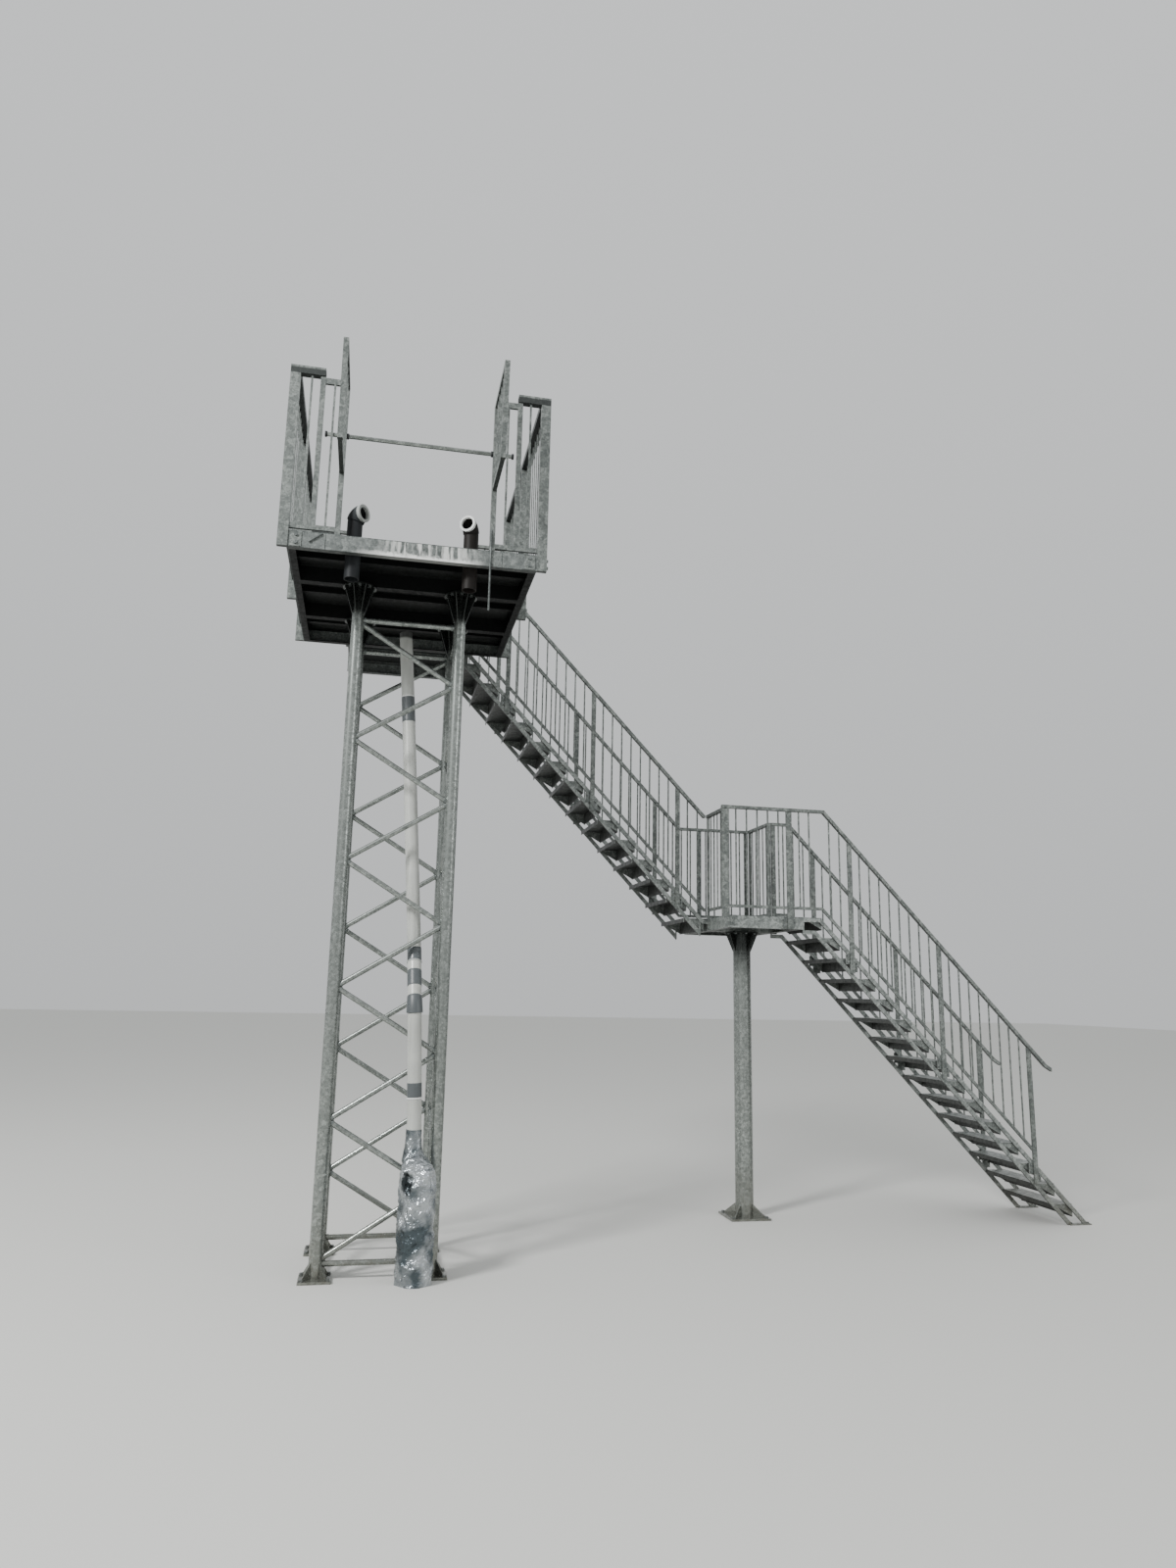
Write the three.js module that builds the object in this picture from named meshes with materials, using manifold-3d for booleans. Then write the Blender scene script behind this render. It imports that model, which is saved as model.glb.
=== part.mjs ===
// Water slide tower: a galvanised steel starting platform on a four-legged lattice mast, with a stair of
// two flights and a landing on a round column. Millimetres, +Z up, ground at z = 0.
//
// Working frame: X runs to the right along the front edge of the platform, Y runs to the rear from the
// front face of the corner posts, Z is the height. The last lines move the origin to the middle of the
// ground area that the tower covers.

import * as THREE from 'three';
import { mergeVertices } from 'three/addons/utils/BufferGeometryUtils.js';
import Module from 'manifold-3d';

const wasm = await Module();
wasm.setup();

// Clearance between pieces that touch
const GAP = 0.3;

// Levels and stair
const RISE = 192.5;
const GOING = 182;
const SLOPE = RISE / GOING;
const RISERS_UPPER = 14;
const RISERS_LOWER = 15;
const LANDING_LEVEL = RISERS_LOWER * RISE;
const PLATFORM_LEVEL = LANDING_LEVEL + RISERS_UPPER * RISE;
const FLOOR_THICK = 6;

// Top platform
const PLATFORM_HALF = 970;
const PLATFORM_DEPTH = 2290;
const BEAM_DEEP = 126.5;
const BEAM_TOP = PLATFORM_LEVEL - FLOOR_THICK;
const UNDERSIDE = BEAM_TOP - BEAM_DEEP;
const FASCIA_FACE = 8;
const FLANGE_WIDE = 60;
const STEEL_THICK = 7;
const JOIST_PLACES = [400, 1150, 1930];
const JOIST_WIDE = 50;
const BEARER_WIDE = 80;
const SIDE_POST_WIDE = 80;
const SIDE_POST_DEEP = 40;
const SIDE_POST_MIDDLE = PLATFORM_HALF + GAP + (SIDE_POST_WIDE - GAP) / 2;

// Mast
const MAST_SPACING = 850;
const MAST_FRONT_Y = 725;
const LEG_RADIUS = 50.8;
const BRACE_RADIUS = 21.2;
const BRACE_SIDES = 8;
const PANEL_HIGH = 500;
const PANELS = 10;
const LATTICE_TOP = UNDERSIDE - 311;
const RING_OFFSET = 22;
const NODE_OFFSET = 17;

// Stair head behind the platform
const HEAD_HALF = 548;
const HEAD_REAR = 3215;
const HEAD_JOIST_Y = 2760;

// Flights: outer faces of the stringers, first nosings, and heights of the bars over the nosing line
const STRINGER_THICK = 20;
const UPPER_NEAR = 2355;
const UPPER_FAR = 3205;
const LOWER_NEAR = 1733;
const LOWER_FAR = 2583;
const UPPER_NOSING = 600;
const LOWER_NOSING = 4155;
const UPPER_BAR = -50;
const LOWER_BAR = -195;
// The lower flight's lower bar hangs lower than the upper flight's
const LOWER_FLIGHT_BAR = -230;
const BAR_THICK = 38;
const TREAD_DEEP = 215;
const TREAD_PLATE = 5;
const TREAD_LIP = 40;
const TREAD_APRON = 120;

// Landing
const LANDING_LEFT = 3200;
const LANDING_RIGHT = 3950;
const LANDING_BEAM_DEEP = 114;
const LANDING_BEAM_TOP = LANDING_LEVEL - FLOOR_THICK;
const LANDING_UNDERSIDE = LANDING_BEAM_TOP - LANDING_BEAM_DEEP;
const COLUMN_X = 3590;
const COLUMN_Y = (LOWER_NEAR + UPPER_FAR) / 2;
const COLUMN_RADIUS = 88.9;

// Railings
const POST_WIDE = 45;
const POST_THICK = 20;
const HANDRAIL_WIDE = 40;
const HANDRAIL_THICK = 30;
const HANDRAIL_LEVEL = 1050;
const KNEE_RAIL_LEVEL = 85;
const KNEE_RAIL_THICK = 28;
const BAR_WIDE = 14;
const BAR_DEEP = 8;
const RAIL_OVER_NOSING_UPPER = 1043;
const RAIL_OVER_NOSING_LOWER = 1078;
const KNEE_OVER_NOSING = 80;
const POST_UNDER_NOSING = 215;
const CAP_TOP = UNDERSIDE + 1536.5;
const CAP_THICK = 60;
const CAP_WIDE = 80;
const SIDE_KNEE_LEVEL = UNDERSIDE + 184;
const SIDE_BAY_BARS = 9;

// Short returns on the front edge, beside the guards
const RETURN_POST_X = 795;
const RETURN_POST_WIDE = 40;
const RETURN_BARS = [700, 882];
const RETURN_RAIL_TOP = UNDERSIDE + 195;
const RETURN_LINK_TOP = UNDERSIDE + 1460;

// Slide guards on the front edge
const GUARD_X = 605;
const GUARD_WIDE = 40;
const GUARD_POST_FRONT = 10;
const GUARD_POST_REAR = 70;
const GUARD_TOP = UNDERSIDE + 1430;
const GUARD_LOW = UNDERSIDE + 673;
const GUARD_REACH_TOP = -594;
const GUARD_REACH_LOW = -525;
const GUARD_UPRIGHT_DEEP = 36;
const GUARD_RAIL_DEEP = 40;
const GUARD_BARS = 4;
const CROSS_BAR_RADIUS = 16.85;
const CROSS_BAR_LEVEL = UNDERSIDE + 990;
const CROSS_BAR_Y = 42;
const CROSS_BAR_HALF = 755;
const CROSS_BAR_COLLAR = { radius: 24, wide: 18 };
const DROP_ROD = { x: 593, y: -0.6, radius: 8, from: UNDERSIDE - 375, to: UNDERSIDE + 304 };

// Water pipes that rise through the floor
const PIPE_RADIUS = 60;
const PIPE_WALL = 7;
const PIPE_Y = 150;
const PIPES = { left: -480, right: 445 };
const PIPE_HEADINGS = { left: 52, right: -30 };
const PIPE_BEND = 75;
const PIPE_MOUTH_BEYOND_BEND = 10;
const PIPE_MOUTH_LEVEL = UNDERSIDE + 377;
const PIPE_TAIL = 166;
const PIPE_SIDES = 12;

// Riser pipe inside the mast
const RISER_RADIUS = 55;
const RISER_WALL = 5;
const RISER_TOP = UNDERSIDE - 258;
// In front of the mast's front panel below, through it between two braces, and inside the mast above
const RISER_PATH = [
  [246, 615, 0], [246, 615, 1120], [202.4, 615, 2010], [188.9, 815, 2420], [43.2, 1060, 4500], [-15, 1060, RISER_TOP],
];
// The wrap bulges forward and to the right, in full where it is wide and not at all at its narrow top
const WRAP_BULGE = { x: 44, y: -72, none: 0.5, full: 0.92 };
const WRAP_TOP = 1080;
const WRAP_RADIUS = 153.75;
// Height and radius of the wrap's creases, as shares of its whole height and radius
const WRAP_CREASES = [
  [0, 0.96], [0.12, 1], [0.3, 0.94], [0.45, 1], [0.62, 0.94], [0.73, 0.94], [0.8, 0.66], [0.87, 0.47], [1, 0.42],
];

const galvanised = material(0x8f9794, 0.45, 0.65);
const galvanisedDull = material(0x7d8583, 0.6, 0.55);
const floorSteel = material(0x5d6361, 0.65, 0.5);
const pipePlastic = material(0xb5b6b0, 0.5, 0.0);
const blackPlastic = material(0x2d3033, 0.55, 0.0);
const foil = material(0xc4c7c8, 0.3, 0.8);

const tower = new THREE.Group();
tower.name = 'water_slide_tower';

// Materials and nodes

function material(color, roughness, metalness) {
  return new THREE.MeshStandardMaterial({ color, roughness, metalness });
}

function add(name, shape, look) {
  const geometry = shape.isBufferGeometry ? shape : toGeometry(shape);
  const mesh = new THREE.Mesh(geometry, look);
  mesh.name = name;
  tower.add(mesh);
}

// Solids and geometries

function toSolid(geometry) {
  const bare = geometry.clone();
  bare.deleteAttribute('normal');
  bare.deleteAttribute('uv');
  const merged = mergeVertices(bare, 1e-3);
  const vertProperties = new Float32Array(merged.attributes.position.array);
  const triVerts = new Uint32Array(merged.index.array);
  return new wasm.Manifold(new wasm.Mesh({ numProp: 3, vertProperties, triVerts }));
}

function toGeometry(solid) {
  const mesh = solid.getMesh();
  const geometry = new THREE.BufferGeometry();
  geometry.setAttribute('position', new THREE.BufferAttribute(new Float32Array(mesh.vertProperties), 3));
  geometry.setIndex(new THREE.BufferAttribute(new Uint32Array(mesh.triVerts), 1));
  geometry.computeVertexNormals();
  return geometry;
}

function fuse(geometries) {
  return geometries.map(toSolid).reduce((sum, solid) => sum.add(solid));
}

function cut(solid, geometries) {
  return geometries.map(toSolid).reduce((rest, tool) => rest.subtract(tool), solid);
}

// Basic shapes

function box(x0, x1, y0, y1, z0, z1) {
  const geometry = new THREE.BoxGeometry(x1 - x0, y1 - y0, z1 - z0);
  return geometry.translate((x0 + x1) / 2, (y0 + y1) / 2, (z0 + z1) / 2);
}

function rod(from, to, radius, sides) {
  const start = new THREE.Vector3(...from);
  const run = new THREE.Vector3(...to).sub(start);
  const geometry = new THREE.CylinderGeometry(radius, radius, run.length(), sides);
  const heading = run.clone().normalize();
  const turn = new THREE.Quaternion().setFromUnitVectors(new THREE.Vector3(0, 1, 0), heading);
  return geometry.applyQuaternion(turn).translate(...start.addScaledVector(run, 0.5).toArray());
}

// An outline pushed along x or y. Its points are given in the two other axes, in the order x, y, z.
const PRISM_TURNS = {
  x: new THREE.Matrix4().set(0, 0, 1, 0, 1, 0, 0, 0, 0, 1, 0, 0, 0, 0, 0, 1),
  y: new THREE.Matrix4().set(1, 0, 0, 0, 0, 0, -1, 0, 0, 1, 0, 0, 0, 0, 0, 1),
};

function prism(axis, points, from, to) {
  const outline = new THREE.Shape(points.map(([a, b]) => new THREE.Vector2(a, b)));
  const geometry = new THREE.ExtrudeGeometry(outline, { depth: to - from, bevelEnabled: false });
  geometry.applyMatrix4(PRISM_TURNS[axis]);
  return axis === 'x' ? geometry.translate(from, 0, 0) : geometry.translate(0, to, 0);
}

// The outline of a bar that follows a broken line: mitred at the bends and cut plumb at both ends
function barOutline(path, thick) {
  const half = thick / 2;
  const above = [];
  const below = [];
  const corners = path.map(([s, z]) => new THREE.Vector2(s, z));
  const heading = (i) => corners[i + 1].clone().sub(corners[i]).normalize();
  path.forEach(([s, z], i) => {
    const before = heading(Math.max(i - 1, 0));
    const after = heading(Math.min(i, path.length - 2));
    const normalBefore = new THREE.Vector2(-before.y, before.x);
    const normalAfter = new THREE.Vector2(-after.y, after.x);
    const mitre = normalBefore.clone().add(normalAfter).normalize();
    mitre.multiplyScalar(half / mitre.dot(normalAfter));
    const isEnd = i === 0 || i === path.length - 1;
    const offset = isEnd ? new THREE.Vector2(0, half / after.x) : mitre;
    above.push([s + offset.x, z + offset.y]);
    below.unshift([s - offset.x, z - offset.y]);
  });
  return [...above, ...below];
}

function heightAt(path, s) {
  const next = Math.max(1, path.findIndex(([at]) => at >= s));
  const [s0, z0] = path[next - 1];
  const [s1, z1] = path[next];
  return z0 + ((z1 - z0) * (s - s0)) / (s1 - s0);
}

function spread(from, to, count) {
  return Array.from({ length: count }, (_, i) => from + ((to - from) * (i + 1)) / (count + 1));
}

// A railing panel. It is drawn along X with its posts behind y = 0, then turned to run along Y if asked:
// s is the way along the panel. Posts are [s, bottom], or [s, bottom, width].
function railing({ top, knee, posts, bays, cap = [HANDRAIL_WIDE, HANDRAIL_THICK], thick = POST_THICK }) {
  const middle = -thick / 2;
  const pieces = [
    prism('y', barOutline(top, cap[1]), middle - cap[0] / 2, middle + cap[0] / 2),
    prism('y', barOutline(knee, KNEE_RAIL_THICK), middle - BAR_DEEP, middle + BAR_DEEP),
  ];
  for (const [s, bottom, wide = POST_WIDE] of posts) {
    pieces.push(box(s - wide / 2, s + wide / 2, -thick, 0, bottom, heightAt(top, s) - 10));
  }
  for (const [from, to, count] of bays) {
    for (const s of spread(from, to, count)) {
      const foot = heightAt(knee, s);
      pieces.push(box(s - BAR_WIDE / 2, s + BAR_WIDE / 2, middle - BAR_DEEP / 2, middle + BAR_DEEP / 2, foot,
        heightAt(top, s)));
    }
  }
  return toGeometry(fuse(pieces));
}

// Panels along X: the posts' inner face at the given y, with the posts toward the front
function facingFront(geometry, y) {
  return geometry.translate(0, y - GAP, 0);
}

function facingRear(geometry, y) {
  return geometry.translate(0, y + GAP + POST_THICK, 0);
}

// Panels along Y: s becomes y, and the posts end up on the right of x = 0
function turnedAlongY(geometry) {
  return geometry.rotateZ(Math.PI / 2);
}

function facingRight(geometry, x) {
  return turnedAlongY(geometry).translate(x + GAP, 0, 0);
}

function facingLeft(geometry, x, thick = POST_THICK) {
  return turnedAlongY(geometry).translate(x - GAP - thick, 0, 0);
}

// A channel section: its web stands at the first coordinate, its flanges reach along the sign
function channelOutline(web, sign, bottom, deep) {
  const inner = web + sign * STEEL_THICK;
  const tip = web + sign * FLANGE_WIDE;
  const top = bottom + deep;
  const points = [
    [web, bottom], [tip, bottom], [tip, bottom + STEEL_THICK], [inner, bottom + STEEL_THICK],
    [inner, top - STEEL_THICK], [tip, top - STEEL_THICK], [tip, top], [web, top],
  ];
  return sign > 0 ? points : points.reverse();
}

// Round legs

// Thin triangular plates around a leg, with their wide edge at wideZ and their point at tipZ
function fins(x, y, legRadius, reach, wideZ, tipZ, count, turn) {
  const buried = legRadius * 0.6;
  return Array.from({ length: count }, (_, i) => {
    const outline = [[buried, tipZ], [legRadius, tipZ], [reach, wideZ], [buried, wideZ]];
    const fin = prism('y', wideZ > tipZ ? outline : outline.reverse(), -4, 4);
    return fin.rotateZ(turn + (i * 2 * Math.PI) / count).translate(x, y, 0);
  });
}

function leg({ x, y, radius, top, sides, flange, baseHalf, headFins }) {
  const flangeThick = 12;
  const baseThick = 20;
  return fuse([
    rod([x, y, baseThick / 2], [x, y, top - flangeThick / 2], radius, sides),
    rod([x, y, top - flangeThick], [x, y, top], flange, 24),
    box(x - baseHalf, x + baseHalf, y - baseHalf, y + baseHalf, 0, baseThick),
    ...fins(x, y, radius, flange - 6, top - flangeThick / 2, top - headFins, 8, Math.PI / 8),
    ...fins(x, y, radius, baseHalf * 1.15, baseThick / 2, baseThick + 110, 4, Math.PI / 4),
  ]);
}

// Mast

const mastRearY = MAST_FRONT_Y + MAST_SPACING;
const mastHalf = MAST_SPACING / 2;
const MAST_CORNERS = {
  front_left: [-mastHalf, MAST_FRONT_Y],
  front_right: [mastHalf, MAST_FRONT_Y],
  rear_right: [mastHalf, mastRearY],
  rear_left: [-mastHalf, mastRearY],
};

function mastLeg([x, y]) {
  return leg({
    x, y, radius: LEG_RADIUS, top: UNDERSIDE - GAP, sides: 16, flange: 140, baseHalf: 120, headFins: 250,
  });
}

// One side of the mast: a zig-zag that starts at the top of the first corner, closed by a bar at each end
function mastLattice(first, second) {
  const reach = MAST_SPACING - NODE_OFFSET;
  const point = (along, z) => {
    const t = along / MAST_SPACING;
    return [first[0] + (second[0] - first[0]) * t, first[1] + (second[1] - first[1]) * t, z];
  };
  const node = (i) => point(i % 2 ? reach : NODE_OFFSET, LATTICE_TOP - i * PANEL_HIGH);
  const bottom = LATTICE_TOP - PANELS * PANEL_HIGH;
  const bars = [LATTICE_TOP + RING_OFFSET, bottom - RING_OFFSET].map((z) => {
    return rod(point(NODE_OFFSET, z), point(reach, z), BRACE_RADIUS, BRACE_SIDES);
  });
  for (let i = 0; i < PANELS; i += 1) {
    bars.push(rod(node(i), node(i + 1), BRACE_RADIUS, BRACE_SIDES));
  }
  const clearance = [first, second].map(([x, y]) => {
    return rod([x, y, 0], [x, y, UNDERSIDE], LEG_RADIUS + 2 * GAP, 24);
  });
  return cut(fuse(bars), clearance);
}

for (const [corner, place] of Object.entries(MAST_CORNERS)) {
  add(`mast_leg_${corner}`, mastLeg(place), galvanised);
}
add('mast_lattice_front', mastLattice(MAST_CORNERS.front_left, MAST_CORNERS.front_right), galvanised);
add('mast_lattice_left', mastLattice(MAST_CORNERS.front_left, MAST_CORNERS.rear_left), galvanised);
add('mast_lattice_rear', mastLattice(MAST_CORNERS.rear_right, MAST_CORNERS.rear_left), galvanised);
add('mast_lattice_right', mastLattice(MAST_CORNERS.rear_right, MAST_CORNERS.front_right), galvanised);

// Riser pipe: straight lengths between the points of its path, which run on past each bend by the overlap

function riserRun(radius, overrun, overlap) {
  const points = RISER_PATH.map((point) => new THREE.Vector3(...point));
  return points.slice(1).map((end, i) => {
    const along = end.clone().sub(points[i]).normalize();
    const before = i === 0 ? overrun : overlap;
    const after = i === points.length - 2 ? overrun : overlap;
    const from = points[i].clone().addScaledVector(along, -before);
    return rod(from.toArray(), end.clone().addScaledVector(along, after).toArray(), radius, 16);
  });
}

function riserWrap() {
  const inner = RISER_RADIUS + GAP;
  const crease = ([height, size]) => new THREE.Vector2(WRAP_RADIUS * size, WRAP_TOP * height);
  const outer = WRAP_CREASES.map(crease);
  const profile = [new THREE.Vector2(inner, 0), ...outer, new THREE.Vector2(inner, WRAP_TOP)];
  const geometry = new THREE.LatheGeometry([...profile, profile[0].clone()], 16).rotateX(Math.PI / 2);
  const place = geometry.attributes.position;
  for (let i = 0; i < place.count; i += 1) {
    const size = Math.hypot(place.getX(i), place.getY(i)) / WRAP_RADIUS;
    const wide = (size - WRAP_BULGE.none) / (WRAP_BULGE.full - WRAP_BULGE.none);
    const share = Math.min(Math.max(wide, 0), 1);
    place.setXY(i, place.getX(i) + WRAP_BULGE.x * share, place.getY(i) + WRAP_BULGE.y * share);
  }
  const legPlate = box(304.6, 600, 604.6, 900, -1, 132);
  return cut(toSolid(geometry.translate(RISER_PATH[0][0], RISER_PATH[0][1], 0)), [legPlate]);
}

const riserBore = riserRun(RISER_RADIUS - RISER_WALL, 5, 8);
add('riser_pipe', cut(fuse(riserRun(RISER_RADIUS, 0, 12)), riserBore), pipePlastic);
add('riser_foil_wrap', riserWrap(), foil);

// Top platform

function crossMember(half, y, wide, bottom) {
  return box(-half + 2, half - 2, y - wide / 2, y + wide / 2, bottom, BEAM_TOP);
}

function platformFrame() {
  const sideFront = FASCIA_FACE + FLANGE_WIDE + GAP;
  const bearers = [MAST_FRONT_Y, mastRearY].map((y) => {
    return crossMember(PLATFORM_HALF, y, BEARER_WIDE, UNDERSIDE);
  });
  const joists = JOIST_PLACES.map((y) => crossMember(PLATFORM_HALF, y, JOIST_WIDE, BEAM_TOP - JOIST_WIDE));
  return fuse([
    prism('y', channelOutline(-PLATFORM_HALF, 1, UNDERSIDE, BEAM_DEEP), sideFront, PLATFORM_DEPTH),
    prism('y', channelOutline(PLATFORM_HALF, -1, UNDERSIDE, BEAM_DEEP), sideFront, PLATFORM_DEPTH),
    prism('x', channelOutline(PLATFORM_DEPTH, -1, UNDERSIDE, BEAM_DEEP), -PLATFORM_HALF, PLATFORM_HALF),
    ...bearers,
    ...joists,
  ]);
}

// The second joint of the floor lies as far behind the water pipes as the front edge lies before them
const FLOOR_JOINT = 2 * PIPE_Y - FASCIA_FACE;

// The floor is three plates. Two narrow ones meet along the middle of the water pipes and go round them
function platformFloor(from, to) {
  const plate = box(-PLATFORM_HALF, PLATFORM_HALF, from, to, BEAM_TOP + GAP, PLATFORM_LEVEL);
  const holeRadius = PIPE_RADIUS + 1.5 * GAP;
  const holes = Object.values(PIPES).map((x) => {
    return rod([x, PIPE_Y, BEAM_TOP - 5], [x, PIPE_Y, PLATFORM_LEVEL + 5], holeRadius, PIPE_SIDES);
  });
  return cut(toSolid(plate), holes);
}

const fascia = channelOutline(FASCIA_FACE, 1, UNDERSIDE, BEAM_DEEP);
const frontBeam = prism('x', fascia, -PLATFORM_HALF, PLATFORM_HALF);
add('platform_beam_front', toSolid(frontBeam), galvanisedDull);
add('platform_frame', platformFrame(), galvanisedDull);
add('platform_floor_front', platformFloor(FASCIA_FACE, PIPE_Y), floorSteel);
add('platform_floor_middle', platformFloor(PIPE_Y + GAP, FLOOR_JOINT), floorSteel);
add('platform_floor', platformFloor(FLOOR_JOINT + GAP, PLATFORM_DEPTH), floorSteel);

// High side railings: posts outside the side beams, a deep cap

function sideRailing() {
  const capMiddle = CAP_TOP - CAP_THICK / 2;
  const post = (y) => [y, UNDERSIDE, SIDE_POST_DEEP];
  const front = SIDE_POST_DEEP / 2;
  const middle = PLATFORM_DEPTH / 2;
  const rear = PLATFORM_DEPTH - SIDE_POST_DEEP / 2;
  return railing({
    top: [[0, capMiddle], [PLATFORM_DEPTH, capMiddle]],
    knee: [[front, SIDE_KNEE_LEVEL], [rear, SIDE_KNEE_LEVEL]],
    posts: [post(front), post(middle), post(rear)],
    bays: [[front, middle, SIDE_BAY_BARS], [middle, rear, SIDE_BAY_BARS]],
    cap: [CAP_WIDE, CAP_THICK],
    thick: SIDE_POST_WIDE - GAP,
  });
}

add('railing_right', facingRight(sideRailing(), PLATFORM_HALF), galvanised);
add('railing_left', facingLeft(sideRailing(), -PLATFORM_HALF, SIDE_POST_WIDE - GAP), galvanised);

// Short returns on the front edge, drawn for the right side and mirrored to the left

function frontReturn(side) {
  const across = (a, b) => (side > 0 ? [a, b] : [-b, -a]);
  const bar = (a, b, y0, y1, z0, z1) => box(...across(a, b), y0, y1, z0, z1);
  const guardFace = GUARD_X + GUARD_WIDE / 2 + GAP;
  const postInner = RETURN_POST_X - RETURN_POST_WIDE / 2;
  const capOuter = SIDE_POST_MIDDLE - CAP_WIDE / 2 - GAP;
  const foot = RETURN_RAIL_TOP - 20;
  const [innerBar, outerBar] = RETURN_BARS;
  return fuse([
    bar(postInner + 3, capOuter, 0, 60, CAP_TOP - CAP_THICK - 6, CAP_TOP),
    bar(postInner, postInner + RETURN_POST_WIDE, 10, 40, foot, CAP_TOP - 30),
    bar(guardFace, PLATFORM_HALF, 10, 32, RETURN_RAIL_TOP - 40, RETURN_RAIL_TOP),
    bar(guardFace, RETURN_POST_X - 5, 11, 33, RETURN_LINK_TOP - 50, RETURN_LINK_TOP),
    bar(outerBar - 8, outerBar + 8, 12, 22, foot, CAP_TOP - 30),
    bar(innerBar - 8, innerBar + 8, 12, 22, foot, RETURN_LINK_TOP - 30),
  ]);
}

// Tall panels that stand on the front edge and reach forward over the start of the slide

function slideGuard(side) {
  const x = side * GUARD_X;
  const near = x - GUARD_WIDE / 2;
  const far = x + GUARD_WIDE / 2;
  const railBottom = GUARD_LOW - GUARD_RAIL_DEEP / 2;
  const railTop = GUARD_LOW + GUARD_RAIL_DEEP / 2;
  const railRear = GUARD_POST_REAR - 5;
  const uprightLine = [[railBottom, -GUARD_REACH_LOW], [GUARD_TOP, -GUARD_REACH_TOP]];
  const upright = barOutline(uprightLine, GUARD_UPRIGHT_DEEP).map(([z, forward]) => [-forward, z]);
  const pieces = [
    box(near, far, GUARD_POST_FRONT, GUARD_POST_REAR, PLATFORM_LEVEL + GAP, GUARD_TOP),
    box(near, far, GUARD_REACH_TOP, railRear, GUARD_TOP - GUARD_RAIL_DEEP, GUARD_TOP),
    box(near + 3, far - 3, GUARD_REACH_LOW, railRear, railBottom, railTop),
    prism('x', upright, near, far),
  ];
  for (const y of spread(GUARD_REACH_LOW, GUARD_POST_FRONT, GUARD_BARS)) {
    pieces.push(box(x - 12, x + 12, y - 5, y + 5, GUARD_LOW, GUARD_TOP - 20));
  }
  const along = (end) => [end, CROSS_BAR_Y, CROSS_BAR_LEVEL];
  return cut(fuse(pieces), [rod(along(x - 50), along(x + 50), CROSS_BAR_RADIUS + 2 * GAP, 24)]);
}

function crossBar() {
  const collar = CROSS_BAR_COLLAR;
  const collarFrom = GUARD_X - GUARD_WIDE / 2 - GAP;
  const along = (x) => [x, CROSS_BAR_Y, CROSS_BAR_LEVEL];
  return fuse([
    rod(along(-CROSS_BAR_HALF), along(CROSS_BAR_HALF), CROSS_BAR_RADIUS, 12),
    rod(along(collarFrom - collar.wide), along(collarFrom), collar.radius, 12),
    rod(along(-collarFrom), along(collar.wide - collarFrom), collar.radius, 12),
  ]);
}

for (const [name, side] of [['left', -1], ['right', 1]]) {
  add(`railing_front_${name}`, frontReturn(side), galvanised);
  add(`slide_guard_${name}`, slideGuard(side), galvanised);
}
add('slide_cross_bar', crossBar(), galvanised);

const { x: dropX, y: dropY, from: dropFrom, to: dropTo } = DROP_ROD;
const dropRod = rod([dropX, dropY, dropFrom], [dropX, dropY, dropTo], DROP_ROD.radius, 8);
add('drop_rod', toSolid(dropRod), galvanised);

// Water pipes with open elbows

class Elbow extends THREE.Curve {
  constructor(start, heading, radius) {
    super();
    Object.assign(this, { start, heading, radius });
  }

  getPoint(t, target = new THREE.Vector3()) {
    const angle = (t * Math.PI) / 2;
    target.copy(this.start).addScaledVector(this.heading, this.radius * (1 - Math.cos(angle)));
    return target.add(new THREE.Vector3(0, 0, this.radius * Math.sin(angle)));
  }
}

function pipeVolume(x, headingAngle, radius, overrun) {
  const heading = new THREE.Vector3(Math.sin(headingAngle), -Math.cos(headingAngle), 0);
  const start = new THREE.Vector3(x, PIPE_Y, PIPE_MOUTH_LEVEL - PIPE_BEND);
  const section = new THREE.Shape().absarc(0, 0, radius, 0, 2 * Math.PI, false);
  const extrudePath = new Elbow(start, heading, PIPE_BEND);
  const bend = new THREE.ExtrudeGeometry(section, {
    steps: 4, curveSegments: PIPE_SIDES / 2, bevelEnabled: false, extrudePath,
  });
  const mouth = start.clone().addScaledVector(heading, PIPE_BEND).setZ(PIPE_MOUTH_LEVEL);
  const rim = mouth.clone().addScaledVector(heading, PIPE_MOUTH_BEYOND_BEND + overrun);
  const inside = mouth.addScaledVector(heading, -1);
  return [
    rod([x, PIPE_Y, UNDERSIDE - PIPE_TAIL - overrun], [x, PIPE_Y, start.z + 1], radius, PIPE_SIDES),
    bend,
    rod(inside.toArray(), rim.toArray(), radius, PIPE_SIDES),
  ];
}

function waterPipe(x, headingAngle) {
  const outer = fuse(pipeVolume(x, headingAngle, PIPE_RADIUS, 0));
  return cut(outer, pipeVolume(x, headingAngle, PIPE_RADIUS - PIPE_WALL, 5));
}

add('water_pipe_left', waterPipe(PIPES.left, THREE.MathUtils.degToRad(PIPE_HEADINGS.left)), blackPlastic);
add('water_pipe_right', waterPipe(PIPES.right, THREE.MathUtils.degToRad(PIPE_HEADINGS.right)), blackPlastic);

// Stair head

function headFrame() {
  const front = PLATFORM_DEPTH + GAP;
  return fuse([
    prism('y', channelOutline(-HEAD_HALF, 1, UNDERSIDE, BEAM_DEEP), front, HEAD_REAR),
    prism('y', channelOutline(HEAD_HALF, -1, UNDERSIDE, BEAM_DEEP), front, HEAD_REAR),
    prism('x', channelOutline(HEAD_REAR, -1, UNDERSIDE, BEAM_DEEP), -HEAD_HALF, HEAD_HALF),
    box(-HEAD_HALF, HEAD_HALF, front, front + STEEL_THICK, UNDERSIDE, BEAM_TOP),
    crossMember(HEAD_HALF, HEAD_JOIST_Y, JOIST_WIDE, BEAM_TOP - JOIST_WIDE),
  ]);
}

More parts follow.
